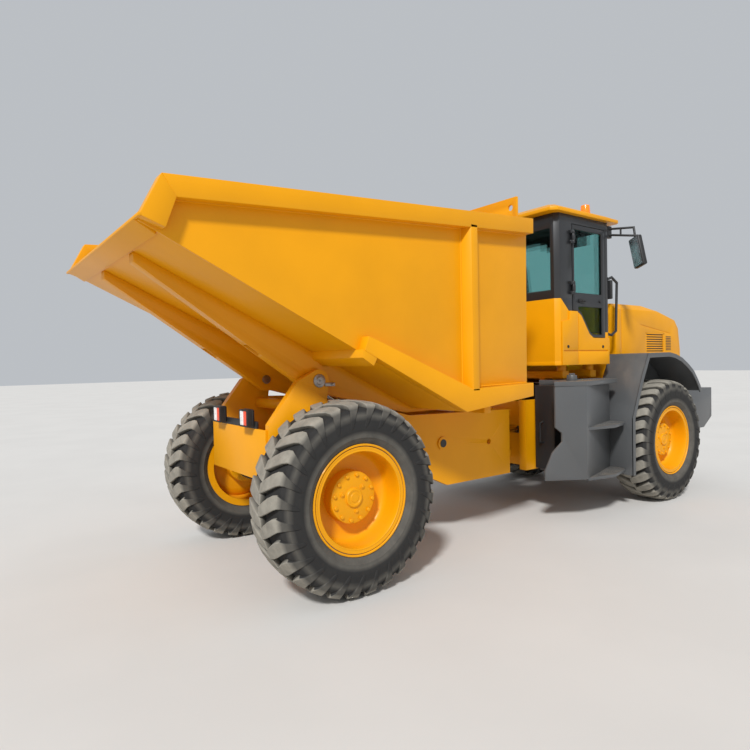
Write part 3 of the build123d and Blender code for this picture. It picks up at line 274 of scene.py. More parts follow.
@dataclass(frozen=True)
class Rubber:
    """Tyre or trim rubber, matt, with dust rubbed into it."""

    name: str
    colour: Colour = (0.018, 0.018, 0.019)
    dust: float = 0.85
    dust_colour: Colour = (0.40, 0.37, 0.31)

    def material(self) -> bpy.types.Material:
        """Build the rubber's material.

        Returns:
            The finished material.
        """
        shader = Shader(self.name)
        surface = shader.principled
        surface.inputs["Roughness"].default_value = 0.82
        surface.inputs["Specular IOR Level"].default_value = 0.2
        share = shader.add("ShaderNodeAttribute")
        share.attribute_name = "dust"
        patches = shader.add("ShaderNodeMapRange", From_Min=0.25, From_Max=0.75, To_Min=0.55, To_Max=1.0)
        shader.link(shader.noise(14, 8, 0.6), "Fac", patches, "Value")
        veil = shader.tree.nodes.new("ShaderNodeMath")
        veil.operation = "MULTIPLY"
        shader.link(share, "Fac", veil, 0)
        shader.link(patches, "Result", veil, 1)
        scaled = shader.tree.nodes.new("ShaderNodeMath")
        scaled.operation = "MULTIPLY"
        scaled.inputs[1].default_value = self.dust
        shader.link(veil, "Value", scaled, 0)
        worn = shader.blend(scaled.outputs[0], (*self.colour, 1.0), (*self.dust_colour, 1.0))
        shader.tree.links.new(worn, surface.inputs["Base Color"])
        shader.bump(shader.noise(320, 3), 0.25, 0.0012)
        return shader.material


@dataclass(frozen=True)
class Metal:
    """Bare or plated metal."""

    name: str
    colour: Colour
    roughness: float = 0.3
    grain_scale: float = 120

    def material(self) -> bpy.types.Material:
        """Build the metal's material.

        Returns:
            The finished material.
        """
        shader = Shader(self.name)
        surface = shader.principled
        surface.inputs["Metallic"].default_value = 1.0
        surface.inputs["Roughness"].default_value = self.roughness
        darker = tuple(0.8 * part for part in self.colour)
        tone = shader.ramp(shader.noise(self.grain_scale, 5), "Fac", ((0.3, darker), (0.7, self.colour)))
        shader.link(tone, "Color", surface, "Base Color")
        shader.bump(shader.noise(self.grain_scale * 3, 2), 0.08, 0.0004)
        return shader.material


@dataclass(frozen=True)
class Glass:
    """Tinted window glass."""

    name: str
    tint: Colour = (0.22, 0.56, 0.53)
    alpha: float = 0.62

    def material(self) -> bpy.types.Material:
        """Build the glass material.

        Returns:
            The finished material.
        """
        shader = Shader(self.name)
        surface = shader.principled
        surface.inputs["Base Color"].default_value = (*self.tint, 1.0)
        surface.inputs["Roughness"].default_value = 0.03
        surface.inputs["Transmission Weight"].default_value = 1.0
        surface.inputs["IOR"].default_value = 1.12
        surface.inputs["Alpha"].default_value = self.alpha
        smear = shader.ramp(shader.noise(5, 4), "Fac", ((0.4, (0.02,) * 3), (0.8, (0.07,) * 3)))
        shader.link(smear, "Color", surface, "Roughness")
        return shader.material


@dataclass(frozen=True)
class Plastic:
    """Moulded plastic, matt or glossy."""

    name: str
    colour: Colour
    roughness: float = 0.5
    glow: float = 0.0

    def material(self) -> bpy.types.Material:
        """Build the plastic's material.

        Returns:
            The finished material.
        """
        shader = Shader(self.name)
        surface = shader.principled
        surface.inputs["Roughness"].default_value = self.roughness
        lighter = tuple(min(1.0, 1.25 * part + 0.004) for part in self.colour)
        tone = shader.ramp(shader.noise(30, 4), "Fac", ((0.4, self.colour), (0.75, lighter)))
        shader.link(tone, "Color", surface, "Base Color")
        if self.glow:
            surface.inputs["Emission Color"].default_value = (*self.colour, 1.0)
            surface.inputs["Emission Strength"].default_value = self.glow
        shader.bump(shader.noise(600, 2), 0.15, 0.0003)
        return shader.material


FINISHES = {
    finish.name: finish
    for finish in (
        Paint("body_yellow", (0.84, 0.355, 0.0008), roughness=0.42, specular=0.25, coat=0.05, dust=0.06),
        Paint("chassis_grey", (0.085, 0.088, 0.09), roughness=0.42, dust=0.35),
        Paint("cab_dark", (0.02, 0.021, 0.023), roughness=0.38, dust=0.1),
        Paint("grille_black", (0.012, 0.012, 0.013), roughness=0.5, dust=0.1),
        Paint("engine_grey", (0.05, 0.05, 0.052), roughness=0.6, dust=0.4),
        Paint("axle_iron", (0.05, 0.05, 0.05), roughness=0.55, dust=0.5),
        Metal("pin_steel", (0.42, 0.41, 0.40), 0.38),
        Metal("rod_chrome", (0.75, 0.75, 0.76), 0.12),
        Rubber("tyre"),
        Glass("window_glass"),
        Plastic("seat_fabric", (0.02, 0.02, 0.022), 0.85),
        Plastic("trim_plastic", (0.018, 0.018, 0.019), 0.5),
        Plastic("lamp_lens", (0.75, 0.75, 0.73), 0.12),
        Plastic("lamp_red", (0.75, 0.06, 0.01), 0.15, glow=0.05),
        Plastic("beacon_amber", (0.85, 0.22, 0.01), 0.15, glow=0.15),
    )
}


# Slots of the record for finishes that are only used here
NEAREST_SLOT = {"lamp_red": "beacon_amber"}


@dataclass
class Palette:
    """Materials by name, each made once."""

    made: dict[str, bpy.types.Material] = field(default_factory=dict)

    def get(self, name: str) -> bpy.types.Material:
        """Material of a finish.

        Args:
            name: Name of the finish.

        Returns:
            Its material.
        """
        if name not in self.made:
            self.made[name] = FINISHES[name].material()
        return self.made[name]


# Making meshes


class Form:
    """A closed shape in the making, in the machine's own millimetres."""

    def __init__(self) -> None:
        """Start an empty shape."""
        self.mesh = bmesh.new()

    @classmethod
    def box(cls, low: Point, high: Point) -> "Form":
        """Box between two corners.

        Args:
            low: Lowest corner.
            high: Highest corner.

        Returns:
            The box.
        """
        form = cls()
        low, high = Vector(low), Vector(high)
        bmesh.ops.create_cube(form.mesh, size=1.0)
        bmesh.ops.scale(form.mesh, vec=high - low, verts=form.mesh.verts)
        bmesh.ops.translate(form.mesh, vec=(low + high) / 2, verts=form.mesh.verts)
        return form

    @classmethod
    def rod(cls, start: Point, end: Point, radius: float, tip: float | None = None, sides: int = 24) -> "Form":
        """Round bar between two points, tapered if a tip radius is given.

        Args:
            start: Centre of the first end.
            end: Centre of the second end.
            radius: Radius at the first end.
            tip: Radius at the second end.
            sides: Faces around it.

        Returns:
            The bar.
        """
        form = cls()
        start, end = Vector(start), Vector(end)
        axis = end - start
        turn = axis.to_track_quat("Z", "Y").to_matrix().to_4x4()
        bmesh.ops.create_cone(
            form.mesh, cap_ends=True, cap_tris=False, segments=sides, radius1=radius,
            radius2=radius if tip is None else tip, depth=axis.length,
            matrix=Matrix.Translation((start + end) / 2) @ turn,
        )
        return form

    @classmethod
    def plate(cls, points: Sequence[tuple[float, float]], y_from: float, y_to: float) -> "Form":
        """Outline of (x, z) points, filled across from one y to the other.

        Args:
            points: Corners in order.
            y_from: First face.
            y_to: Second face.

        Returns:
            The plate.
        """
        form = cls()
        corners = [form.mesh.verts.new((x, y_from, z)) for x, z in points]
        face = form.mesh.faces.new(corners)
        swept = bmesh.ops.extrude_face_region(form.mesh, geom=[face])
        far = [part for part in swept["geom"] if isinstance(part, bmesh.types.BMVert)]
        bmesh.ops.translate(form.mesh, vec=(0.0, y_to - y_from, 0.0), verts=far)
        return form.closed()

    @classmethod
    def slab(cls, points: Sequence[tuple[float, float]], z_from: float, z_to: float) -> "Form":
        """Outline of (x, y) points, filled up from one z to the other."""
        swap = Matrix(((1, 0, 0, 0), (0, 0, 1, 0), (0, 1, 0, 0), (0, 0, 0, 1)))
        return cls.plate(points, z_from, z_to).moved(swap)

    @classmethod
    def wall(cls, points: Sequence[tuple[float, float]], x_from: float, x_to: float) -> "Form":
        """Outline of (y, z) points, filled along from one x to the other."""
        swap = Matrix(((0, 1, 0, 0), (1, 0, 0, 0), (0, 0, 1, 0), (0, 0, 0, 1)))
        return cls.plate(points, x_from, x_to).moved(swap)

    @classmethod
    def cushion(cls, low: Point, high: Point, channels: Sequence[float] = (), depth: float = 7) -> "Form":
        """Upholstered block: a box divided, relaxed and puffed, with sewn channels across its top.

        Args:
            low: Lowest corner.
            high: Highest corner.
            channels: Places of the channels along y, from -1 to 1.
            depth: Depth of a channel.

        Returns:
            The cushion.
        """
        form = cls()
        low, high = Vector(low), Vector(high)
        bmesh.ops.create_cube(form.mesh, size=2)
        bmesh.ops.subdivide_edges(form.mesh, edges=form.mesh.edges[:], cuts=15, use_grid_fill=True)
        for _ in range(5):
            bmesh.ops.smooth_vert(form.mesh, verts=form.mesh.verts, factor=0.5, use_axis_x=True, use_axis_y=True,
                                  use_axis_z=True)
        reach = max(vert.co.x for vert in form.mesh.verts)
        bmesh.ops.scale(form.mesh, vec=(high - low) / (2 * reach), verts=form.mesh.verts)
        half = (high - low) / 2
        for vert in form.mesh.verts:
            across, along = vert.co.y / half.y, vert.co.x / half.x
            if vert.co.z > 0:
                vert.co.z *= 1.0 - 0.16 * (across ** 4 + along ** 4) / 2
                for channel in channels:
                    vert.co.z -= depth * math.exp(-((across - channel) / 0.055) ** 2)
        bmesh.ops.translate(form.mesh, vec=(low + high) / 2, verts=form.mesh.verts)
        return form

    @classmethod
    def lathe(cls, profile: Sequence[tuple[float, float]], steps: int = 64) -> "Form":
        """Closed (offset, radius) profile turned about the y axis.

        Args:
            profile: Points in order, from the axis to the axis or round a ring.
            steps: Faces around the axis.

        Returns:
            The turned shape.
        """
        form = cls()
        corners = [form.mesh.verts.new((0.0, offset, radius)) for offset, radius in profile]
        pairs = list(zip(corners, corners[1:]))
        if profile[0][1] > 0 or profile[-1][1] > 0:
            pairs.append((corners[-1], corners[0]))
        edges = [form.mesh.edges.new(pair) for pair in pairs]
        bmesh.ops.spin(
            form.mesh, geom=corners + edges, cent=(0.0, 0.0, 0.0), axis=(0.0, 1.0, 0.0), dvec=(0.0, 0.0, 0.0),
            angle=math.tau, steps=steps, use_merge=True, use_duplicate=False,
        )
        bmesh.ops.remove_doubles(form.mesh, verts=form.mesh.verts, dist=0.01)
        return form.closed()

    @classmethod
    def tube(cls, path: Sequence[Point], radius: float, sides: int = 12) -> "Form":
        """Round bar along a path of straight runs, mitred at the corners.

        Args:
            path: Points along its middle.
            radius: Radius of the bar.
            sides: Faces around it.

        Returns:
            The bar.
        """
        form = cls()
        spots = [Vector(point) for point in path]
        ahead = (spots[1] - spots[0]).normalized()
        turn = ahead.to_track_quat("Z", "Y").to_matrix().to_4x4()
        made = bmesh.ops.create_circle(
            form.mesh, cap_ends=True, segments=sides, radius=radius, matrix=Matrix.Translation(spots[0]) @ turn,
        )
        ring = made["verts"]
        edges = list(dict.fromkeys(edge for vert in ring for edge in vert.link_edges))
        for index in range(1, len(spots)):
            run = (spots[index] - spots[index - 1]).normalized()
            at_end = index == len(spots) - 1
            onward = run if at_end else (spots[index + 1] - spots[index]).normalized()
            face = (run + onward).normalized()
            grown = bmesh.ops.extrude_edge_only(form.mesh, edges=edges)["geom"]
            ring = [part for part in grown if isinstance(part, bmesh.types.BMVert)]
            edges = [part for part in grown if isinstance(part, bmesh.types.BMEdge)
                     and all(vert in set(ring) for vert in part.verts)]
            for vert in ring:
                reach = (spots[index] - vert.co).dot(face) / run.dot(face)
                vert.co = vert.co + run * reach
        return form.closed()

    @classmethod
    def ball(cls, centre: Point, radius: float, stretch: Point = (1.0, 1.0, 1.0)) -> "Form":
        """Ball, stretched along the axes if asked.

        Args:
            centre: Its middle.
            radius: Its radius.
            stretch: Factors along x, y and z.

        Returns:
            The ball.
        """
        form = cls()
        bmesh.ops.create_uvsphere(form.mesh, u_segments=24, v_segments=14, radius=radius)
        bmesh.ops.scale(form.mesh, vec=Vector(stretch), verts=form.mesh.verts)
        bmesh.ops.translate(form.mesh, vec=Vector(centre), verts=form.mesh.verts)
        return form

    def closed(self) -> "Form":
        """Fill what is open and turn the faces outwards."""
        rims = [edge for edge in self.mesh.edges if edge.is_boundary]
        if rims:
            bmesh.ops.holes_fill(self.mesh, edges=rims, sides=0)
        bmesh.ops.recalc_face_normals(self.mesh, faces=self.mesh.faces)
        return self

    def rounded(self, width: float, segments: int = 2, angle: float = 30) -> "Form":
        """Bevel the edges sharper than an angle.

        Args:
            width: Width of the bevel.
            segments: Faces across it.
            angle: Least angle between the faces in degrees.

        Returns:
            The same shape.
        """
        sharp = [edge for edge in self.mesh.edges
                 if len(edge.link_faces) == 2 and edge.calc_face_angle() > math.radians(angle)]
        bmesh.ops.bevel(
            self.mesh, geom=sharp, offset=width, offset_type="OFFSET", segments=segments, profile=0.5,
            affect="EDGES", clamp_overlap=True, material=-1,
        )
        return self

    def moved(self, matrix: Matrix) -> "Form":
        """Move, turn or mirror the shape.

        Args:
            matrix: What is done to it.

        Returns:
            The same shape.
        """
        bmesh.ops.transform(self.mesh, matrix=matrix, verts=self.mesh.verts)
        if matrix.determinant() < 0:
            bmesh.ops.reverse_faces(self.mesh, faces=self.mesh.faces)
        return self

    def copy(self) -> "Form":
        """Second shape with the same mesh."""
        twin = Form()
        twin.mesh.free()
        twin.mesh = self.mesh.copy()
        return twin

    def both(self) -> list["Form"]:
        """The shape and its mirror image on the machine's other side."""
        return [self, self.copy().moved(MIRROR_Y)]

    def joined(self, *others: "Form") -> "Form":
        """Fuse other shapes with this one; they are used up."""
        return self.combined("UNION", others)

    def cut(self, *others: "Form") -> "Form":
        """Take other shapes out of this one; they are used up."""
        return self.combined("DIFFERENCE", others)

    def combined(self, way: str, others: Sequence["Form"]) -> "Form":
        """Combine this shape with others.

        Args:
            way: Blender's name of the operation.
            others: The other shapes.

        Returns:
            The same shape.
        """
        host = self.bench_object()
        tools = [other.bench_object() for other in others]
        for tool in tools:
            step = host.modifiers.new(way.lower(), "BOOLEAN")
            step.operation = way
            step.solver = "EXACT"
            step.object = tool
        graph = bpy.context.evaluated_depsgraph_get()
        done = host.evaluated_get(graph)
        self.mesh = bmesh.new()
        self.mesh.from_mesh(done.to_mesh())
        done.to_mesh_clear()
        for obj in [host, *tools]:
            mesh = obj.data
            bpy.data.objects.remove(obj)
            bpy.data.meshes.remove(mesh)
        return self

    def bench_object(self) -> bpy.types.Object:
        """Object of the shape that lasts while shapes are combined."""
        mesh = bpy.data.meshes.new("bench")
        self.mesh.to_mesh(mesh)
        self.mesh.free()
        obj = bpy.data.objects.new("bench", mesh)
        bpy.context.scene.collection.objects.link(obj)
        return obj


class Piece:
    """One visible piece: shapes in one mesh, with the body that carries them."""

    def __init__(self, name: str, finish: str, body: str) -> None:
        """Start an empty piece.

        Args:
            name: Unique name.
            finish: Slot of its material.
            body: Body of the frame that it rides on.
        """
        self.name = name
        self.finish = finish
        self.body = body
        self.mesh = bmesh.new()

    def add(self, *forms: Form) -> "Piece":
        """Take shapes into the piece.

        Args:
            forms: Shapes; they are used up.

        Returns:
            The same piece.
        """
        for form in forms:
            block = bpy.data.meshes.new("form")
            form.mesh.to_mesh(block)
            form.mesh.free()
            self.mesh.from_mesh(block)
            bpy.data.meshes.remove(block)
        return self

    def pair(self, *forms: Form) -> "Piece":
        """Take shapes and their mirror images into the piece.

        Args:
            forms: Shapes of one side; they are used up.

        Returns:
            The same piece.
        """
        for form in forms:
            self.add(*form.both())
        return self


def soften(obj: bpy.types.Object, width: float, flat_angle: float = 0.5, edge_angle: float = 30) -> None:
    """Join the flat faces of an object and round the edges between them.

    Args:
        obj: The object.
        width: Width of the rounding in metres.
        flat_angle: Angle in degrees below which faces are one.
        edge_angle: Angle in degrees above which an edge is rounded.
    """
    flat = obj.modifiers.new("flat", "DECIMATE")
    flat.decimate_type = "DISSOLVE"
    flat.angle_limit = math.radians(flat_angle)
    bevel = obj.modifiers.new("edges", "BEVEL")
    bevel.width = width
    bevel.segments = 2
    bevel.limit_method = "ANGLE"
    bevel.angle_limit = math.radians(edge_angle)
    bevel.use_clamp_overlap = True


def fused(*forms: Form) -> Form:
    """One shape of several that touch or overlap."""
    return forms[0].joined(*forms[1:])


def parallel(points: Sequence[tuple[float, float]], distance: float) -> list[tuple[float, float]]:
    """Open outline moved to its right-hand side, with mitred corners.

    Args:
        points: The outline.
        distance: How far it moves.

    Returns:
        The moved outline.
    """
    moved = []
    last_index = len(points) - 1
    for index, (x, z) in enumerate(points):
        before, after = points[max(index - 1, 0)], points[min(index + 1, last_index)]
        first = math.atan2(z - before[1], x - before[0]) if index else None
        last = math.atan2(after[1] - z, after[0] - x) if index < last_index else None
        first = last if first is None else first
        last = first if last is None else last
        turn = (last - first + math.pi) % math.tau - math.pi
        middle = first + turn / 2
        reach = distance / math.cos(turn / 2)
        moved.append((x + reach * math.sin(middle), z - reach * math.cos(middle)))
    return moved


def shrunk(points: Sequence[tuple[float, float]], distance: float) -> list[tuple[float, float]]:
    """Closed outline, listed clockwise, moved inwards by a distance."""
    points = list(points)
    return parallel([points[-1]] + points + [points[0]], distance)[1:-1]


def ribbon(points: Sequence[tuple[float, float]], thickness: float, y_from: float, y_to: float) -> Form:
    """Bent sheet that follows an open outline.

    Args:
        points: The outline from behind to the front.
        thickness: Thickness under it.
        y_from: First edge.
        y_to: Second edge.

    Returns:
        The sheet.
    """
    return Form.plate(list(points) + parallel(points, thickness)[::-1], y_from, y_to)


@dataclass
class Workshop:
    """Turns finished pieces into objects that ride on the frame."""

    palette: Palette
    smoothing: bpy.types.NodeTree
    count: int = 0

    def make(self, name: str, finish: str, body: str, forms: Iterable[Form], nodes: Iterable[str] = (),
             edge: float = 0.0) -> bpy.types.Object:
        """Make the object of a piece straight from its shapes.

        Args:
            name: Unique name.
            finish: Slot of its material.
            body: Body of the frame that it rides on.
            forms: Shapes; they are used up.
            nodes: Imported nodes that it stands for.
            edge: Width in metres by which its edges are rounded.

        Returns:
            The object, riding on its body.
        """
        return self.place(Piece(name, finish, body).add(*forms), nodes, edge)

    def place(self, piece: Piece, replaced: Iterable[str] = (), edge: float = 0.0,
              dust: Callable[[Vector], float] | None = None) -> bpy.types.Object:
        """Make the object of a piece.

        Args:
            piece: The piece in the machine's millimetres.
            replaced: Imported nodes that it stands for.
            edge: Width in metres by which its edges are rounded.
            dust: Share of dust at a point, kept in the mesh for the rubber's material.

        Returns:
            The object, riding on its body.
        """
        mesh = bpy.data.meshes.new(piece.name)
        shares = [dust(vert.co) for vert in piece.mesh.verts] if dust else []
        to_frame = Matrix.Scale(MILLIMETRE, 4) @ Matrix.Translation((-MIDDLE_X, 0.0, 0.0))
        bmesh.ops.transform(piece.mesh, matrix=to_frame, verts=piece.mesh.verts)
        piece.mesh.to_mesh(mesh)
        piece.mesh.free()
        if shares:
            mesh.attributes.new("dust", "FLOAT", "POINT").data.foreach_set("value", shares)
        obj = bpy.data.objects.new(piece.name, mesh)
        bpy.context.scene.collection.objects.link(obj)
        mesh.materials.append(self.palette.get(piece.finish))
        if edge:
            soften(obj, edge)
        obj.modifiers.new("smooth", "NODES").node_group = self.smoothing
        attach(obj, piece.body)
        NEAREST_SLOT.get(piece.finish, piece.finish)
        replaced = tuple(replaced)
        if replaced:
            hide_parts(*replaced)
        self.count += 1
        LOG.info("%s: %d faces on %s", piece.name, len(mesh.polygons), piece.body)
        return obj


def hex_head(place: Point, axis: Point, radius: float, height: float) -> Form:
    """Bolt head with six sides and a chamfered top.

    Args:
        place: Middle of its seat.
        axis: Direction away from the seat.
        radius: Radius over the corners.
        height: Height of the head.

    Returns:
        The head.
    """
    place, axis = Vector(place), Vector(axis).normalized()
    return Form.rod(place - axis * 2, place + axis * height, radius, sides=6).rounded(radius * 0.14, 1, 50)


def ring_spots(count: int, radius: float, start: float = 0.0) -> list[tuple[float, float]]:
    """Places (x, z) evenly round the y axis.

    Args:
        count: How many.
        radius: Radius of the ring.
        start: Angle of the first in degrees.

    Returns:
        The places.
    """
    turns = [math.radians(start + 360 * index / count) for index in range(count)]
    return [(radius * math.sin(turn), radius * math.cos(turn)) for turn in turns]


# Wheels


@dataclass
class Tyre:
    """Off-road tyre: turned carcass with a staggered row of bent lugs each side."""

    radius: float = 627
    lug_count: int = 28
    steps: int = 112
    slant: float = 0.5
    slant_end: float = 84
    shoulder: float = 600
    back_slant: float = 0.42
    root_centre: float = 440
    root_share: float = 0.74
    wall: tuple = (
        (164, 319.5), (167, 340), (168, 357), (178, 368), (188, 380), (193, 392),
        (197, 396), (197, 402), (199, 414), (203, 440), (204, 470), (203, 474),
        (202, 500), (197, 535), (189, 562), (172, 580), (120, 588), (55, 590),
    )
    lug_path: tuple = (
        (-12, 626.5, 33), (40, 627, 41), (100, 624.5, 46), (148, 617, 46),
        (176, 603, 42), (192, 578, 34), (201, 548, 27), (206.5, 512, 22),
        (208, 482, 17), (206, 458, 10),
    )

    def carcass(self) -> Form:
        """Turned carcass with its beads, sidewalls and the floor of the tread."""
        left = [(-offset, radius) for offset, radius in reversed(self.wall)]
        return Form.lathe(list(self.wall) + left, self.steps)

    def lug(self) -> Form:
        """One lug of the left-hand row, bent over the shoulder and down the sidewall."""
        form = Form()
        rows = len(self.lug_path) - 1
        bmesh.ops.create_grid(form.mesh, x_segments=1, y_segments=rows, size=1.0)
        for vert in form.mesh.verts:
            offset, radius, half = self.lug_path[round((vert.co.y + 1.0) / 2 * rows)]
            along = min(offset * self.slant, self.slant_end) - max(0.0, self.shoulder - radius) * self.back_slant
            along += math.copysign(half, vert.co.x)
            turn = along / self.radius
            vert.co = Vector((radius * math.sin(turn), offset, radius * math.cos(turn)))
        grown = bmesh.ops.extrude_face_region(form.mesh, geom=list(form.mesh.faces))
        for vert in (part for part in grown["geom"] if isinstance(part, bmesh.types.BMVert)):
            out = Vector((vert.co.x, 0.0, vert.co.z)).normalized() * self.root_centre
            vert.co = out + (vert.co - out) * self.root_share
        return form.closed().rounded(4.5, 1, 38)

    def forms(self) -> list[Form]:
        """Carcass and all the lugs about the wheel's centre."""
        pitch = math.tau / self.lug_count
        made = [self.carcass()]
        lug = self.lug()
        for index in range(self.lug_count):
            made.append(lug.copy().moved(Matrix.Rotation(index * pitch, 4, "Y")))
            made.append(lug.copy().moved(Matrix.Rotation((index + 0.5) * pitch, 4, "Y") @ MIRROR_Y))
        lug.mesh.free()
        return made

    def dust(self, out: float, offset: float) -> float:
        """Share of dust on the rubber.

        Args:
            out: Distance from the axle's line.
            offset: Distance from the tyre's middle plane.

        Returns:
            Share from 0 to 1.
        """
        if out > 598:
            return 1.0
        if abs(offset) > 150 and out < 415:
            return 0.32
        if abs(offset) > 189 and out > 515:
            return 0.30
        return 0.05


@dataclass
class Rim:
    """Turned wheel with its bowl, planetary hub, bolts and plugs; outer side to +Y."""

    steps: int = 96
    hub_face: float = 78
    drum_face: float = -130
    bolt_ring: float = 147
    plug_ring: float = 92
    drum_ring: float = 126
    profile: tuple = (
        (-176, 355), (-166, 355), (-164, 352), (-164, 322), (-160, 318), (160, 318),
        (164, 322), (164, 352), (166, 355), (173, 355), (176, 352), (176, 344),
        (173, 341.5), (166, 340.5), (166, 336.5), (171, 335.5), (171.5, 333), (170.5, 324),
        (169, 318), (170, 315), (170, 308.5), (167.5, 306), (150, 302), (120, 301), (50, 300),
        (22, 294), (3, 278), (-6, 252), (-10, 215), (-10, 172), (-8, 170),
        (68, 170), (75, 167), (78, 160), (78, 65), (80, 62), (88, 61), (92, 57),
        (92, 46), (89, 43), (89, 30), (92, 27), (92, 0.0),
    )
    back: tuple = (
        (40, 0.0), (40, 60.3), (-130, 60.3), (-130, 145), (-125, 150), (-40, 150),
        (-36, 154), (-36, 230), (-24, 272), (-2, 293), (-40, 301), (-170, 301),
        (-176, 304),
    )

    def turned(self) -> Form:
        """Rim, disc and hub as one turned shape, closed from its outer face to its bore."""
        form = Form()
        points = list(self.profile) + list(self.back)
        corners = [form.mesh.verts.new((0.0, offset, radius)) for offset, radius in points]
        pairs = [pair for pair in zip(corners, corners[1:]) if any(vert.co.z > 0 for vert in pair)]
        edges = [form.mesh.edges.new(pair) for pair in pairs + [(corners[-1], corners[0])]]
        bmesh.ops.spin(
            form.mesh, geom=corners + edges, cent=(0.0, 0.0, 0.0), axis=(0.0, 1.0, 0.0), dvec=(0.0, 0.0, 0.0),
            angle=math.tau, steps=self.steps, use_merge=True, use_duplicate=False,
        )
        bmesh.ops.remove_doubles(form.mesh, verts=form.mesh.verts, dist=0.01)
        return form.closed()

    def forms(self) -> list[Form]:
        """Turned shape, hub bolts, plugs, the drum's bolts and the valve."""
        made = [self.turned()]
        for x, z in ring_spots(12, self.bolt_ring, 10):
            made.append(hex_head((x, self.hub_face, z), (0, 1, 0), 13, 11))
        for x, z in ring_spots(3, self.plug_ring, 48):
            made.append(Form.rod((x, self.hub_face - 2, z), (x, self.hub_face + 5, z), 17, 15.5, 20))
            made.append(hex_head((x, self.hub_face + 5, z), (0, 1, 0), 9, 6))
        for x, z in ring_spots(10, self.drum_ring):
            made.append(hex_head((x, self.drum_face, z), (0, -1, 0), 11, 9))
        made.append(Form.rod((0.0, 20, 292), (0.0, 62, 284), 5, 4, 10))
        return made


@dataclass
class Wheels:
    """Four wheels, each a tyre and a rim on its spinning body."""

    track_half: float = 863
    centre_z: float = 627
    tyre: Tyre = field(default_factory=Tyre)
    rim: Rim = field(default_factory=Rim)

    def build(self, shop: Workshop) -> None:
        """Make the tyre and the rim of each wheel.

        Args:
            shop: Makes the objects.
        """
        for end in End:
            for side in Side:
                self.wheel(shop, end, side)

    def wheel(self, shop: Workshop, end: End, side: Side) -> None:
        """Make one wheel.

        Args:
            shop: Makes the objects.
            end: End of the machine.
            side: Side of the machine.
        """
        place = f"{end.word}_{side.word}"
        centre = Vector((end.value, side.value * self.track_half, self.centre_z))
        stand = Matrix.Translation(centre)
        if side is Side.RIGHT:
            stand = stand @ MIRROR_Y
        tyre = Piece(f"lugged_tyre_{place}", "tyre", f"wheel_{place}")
        tyre.add(*(form.moved(stand) for form in self.tyre.forms()))
        shop.place(tyre, (f"tyre_{place}",), dust=lambda spot: self.dust(spot - centre))
        rim = Piece(f"wheel_disc_{place}", "body_yellow", f"wheel_{place}")
        rim.add(*(form.moved(stand) for form in self.rim.forms()))
        shop.place(rim, (f"rim_{place}",))

    def dust(self, reach: Vector) -> float:
        """Dust at a point given from the wheel's centre."""
        return self.tyre.dust(math.hypot(reach.x, reach.z), reach.y)


# Rear chassis and dump body


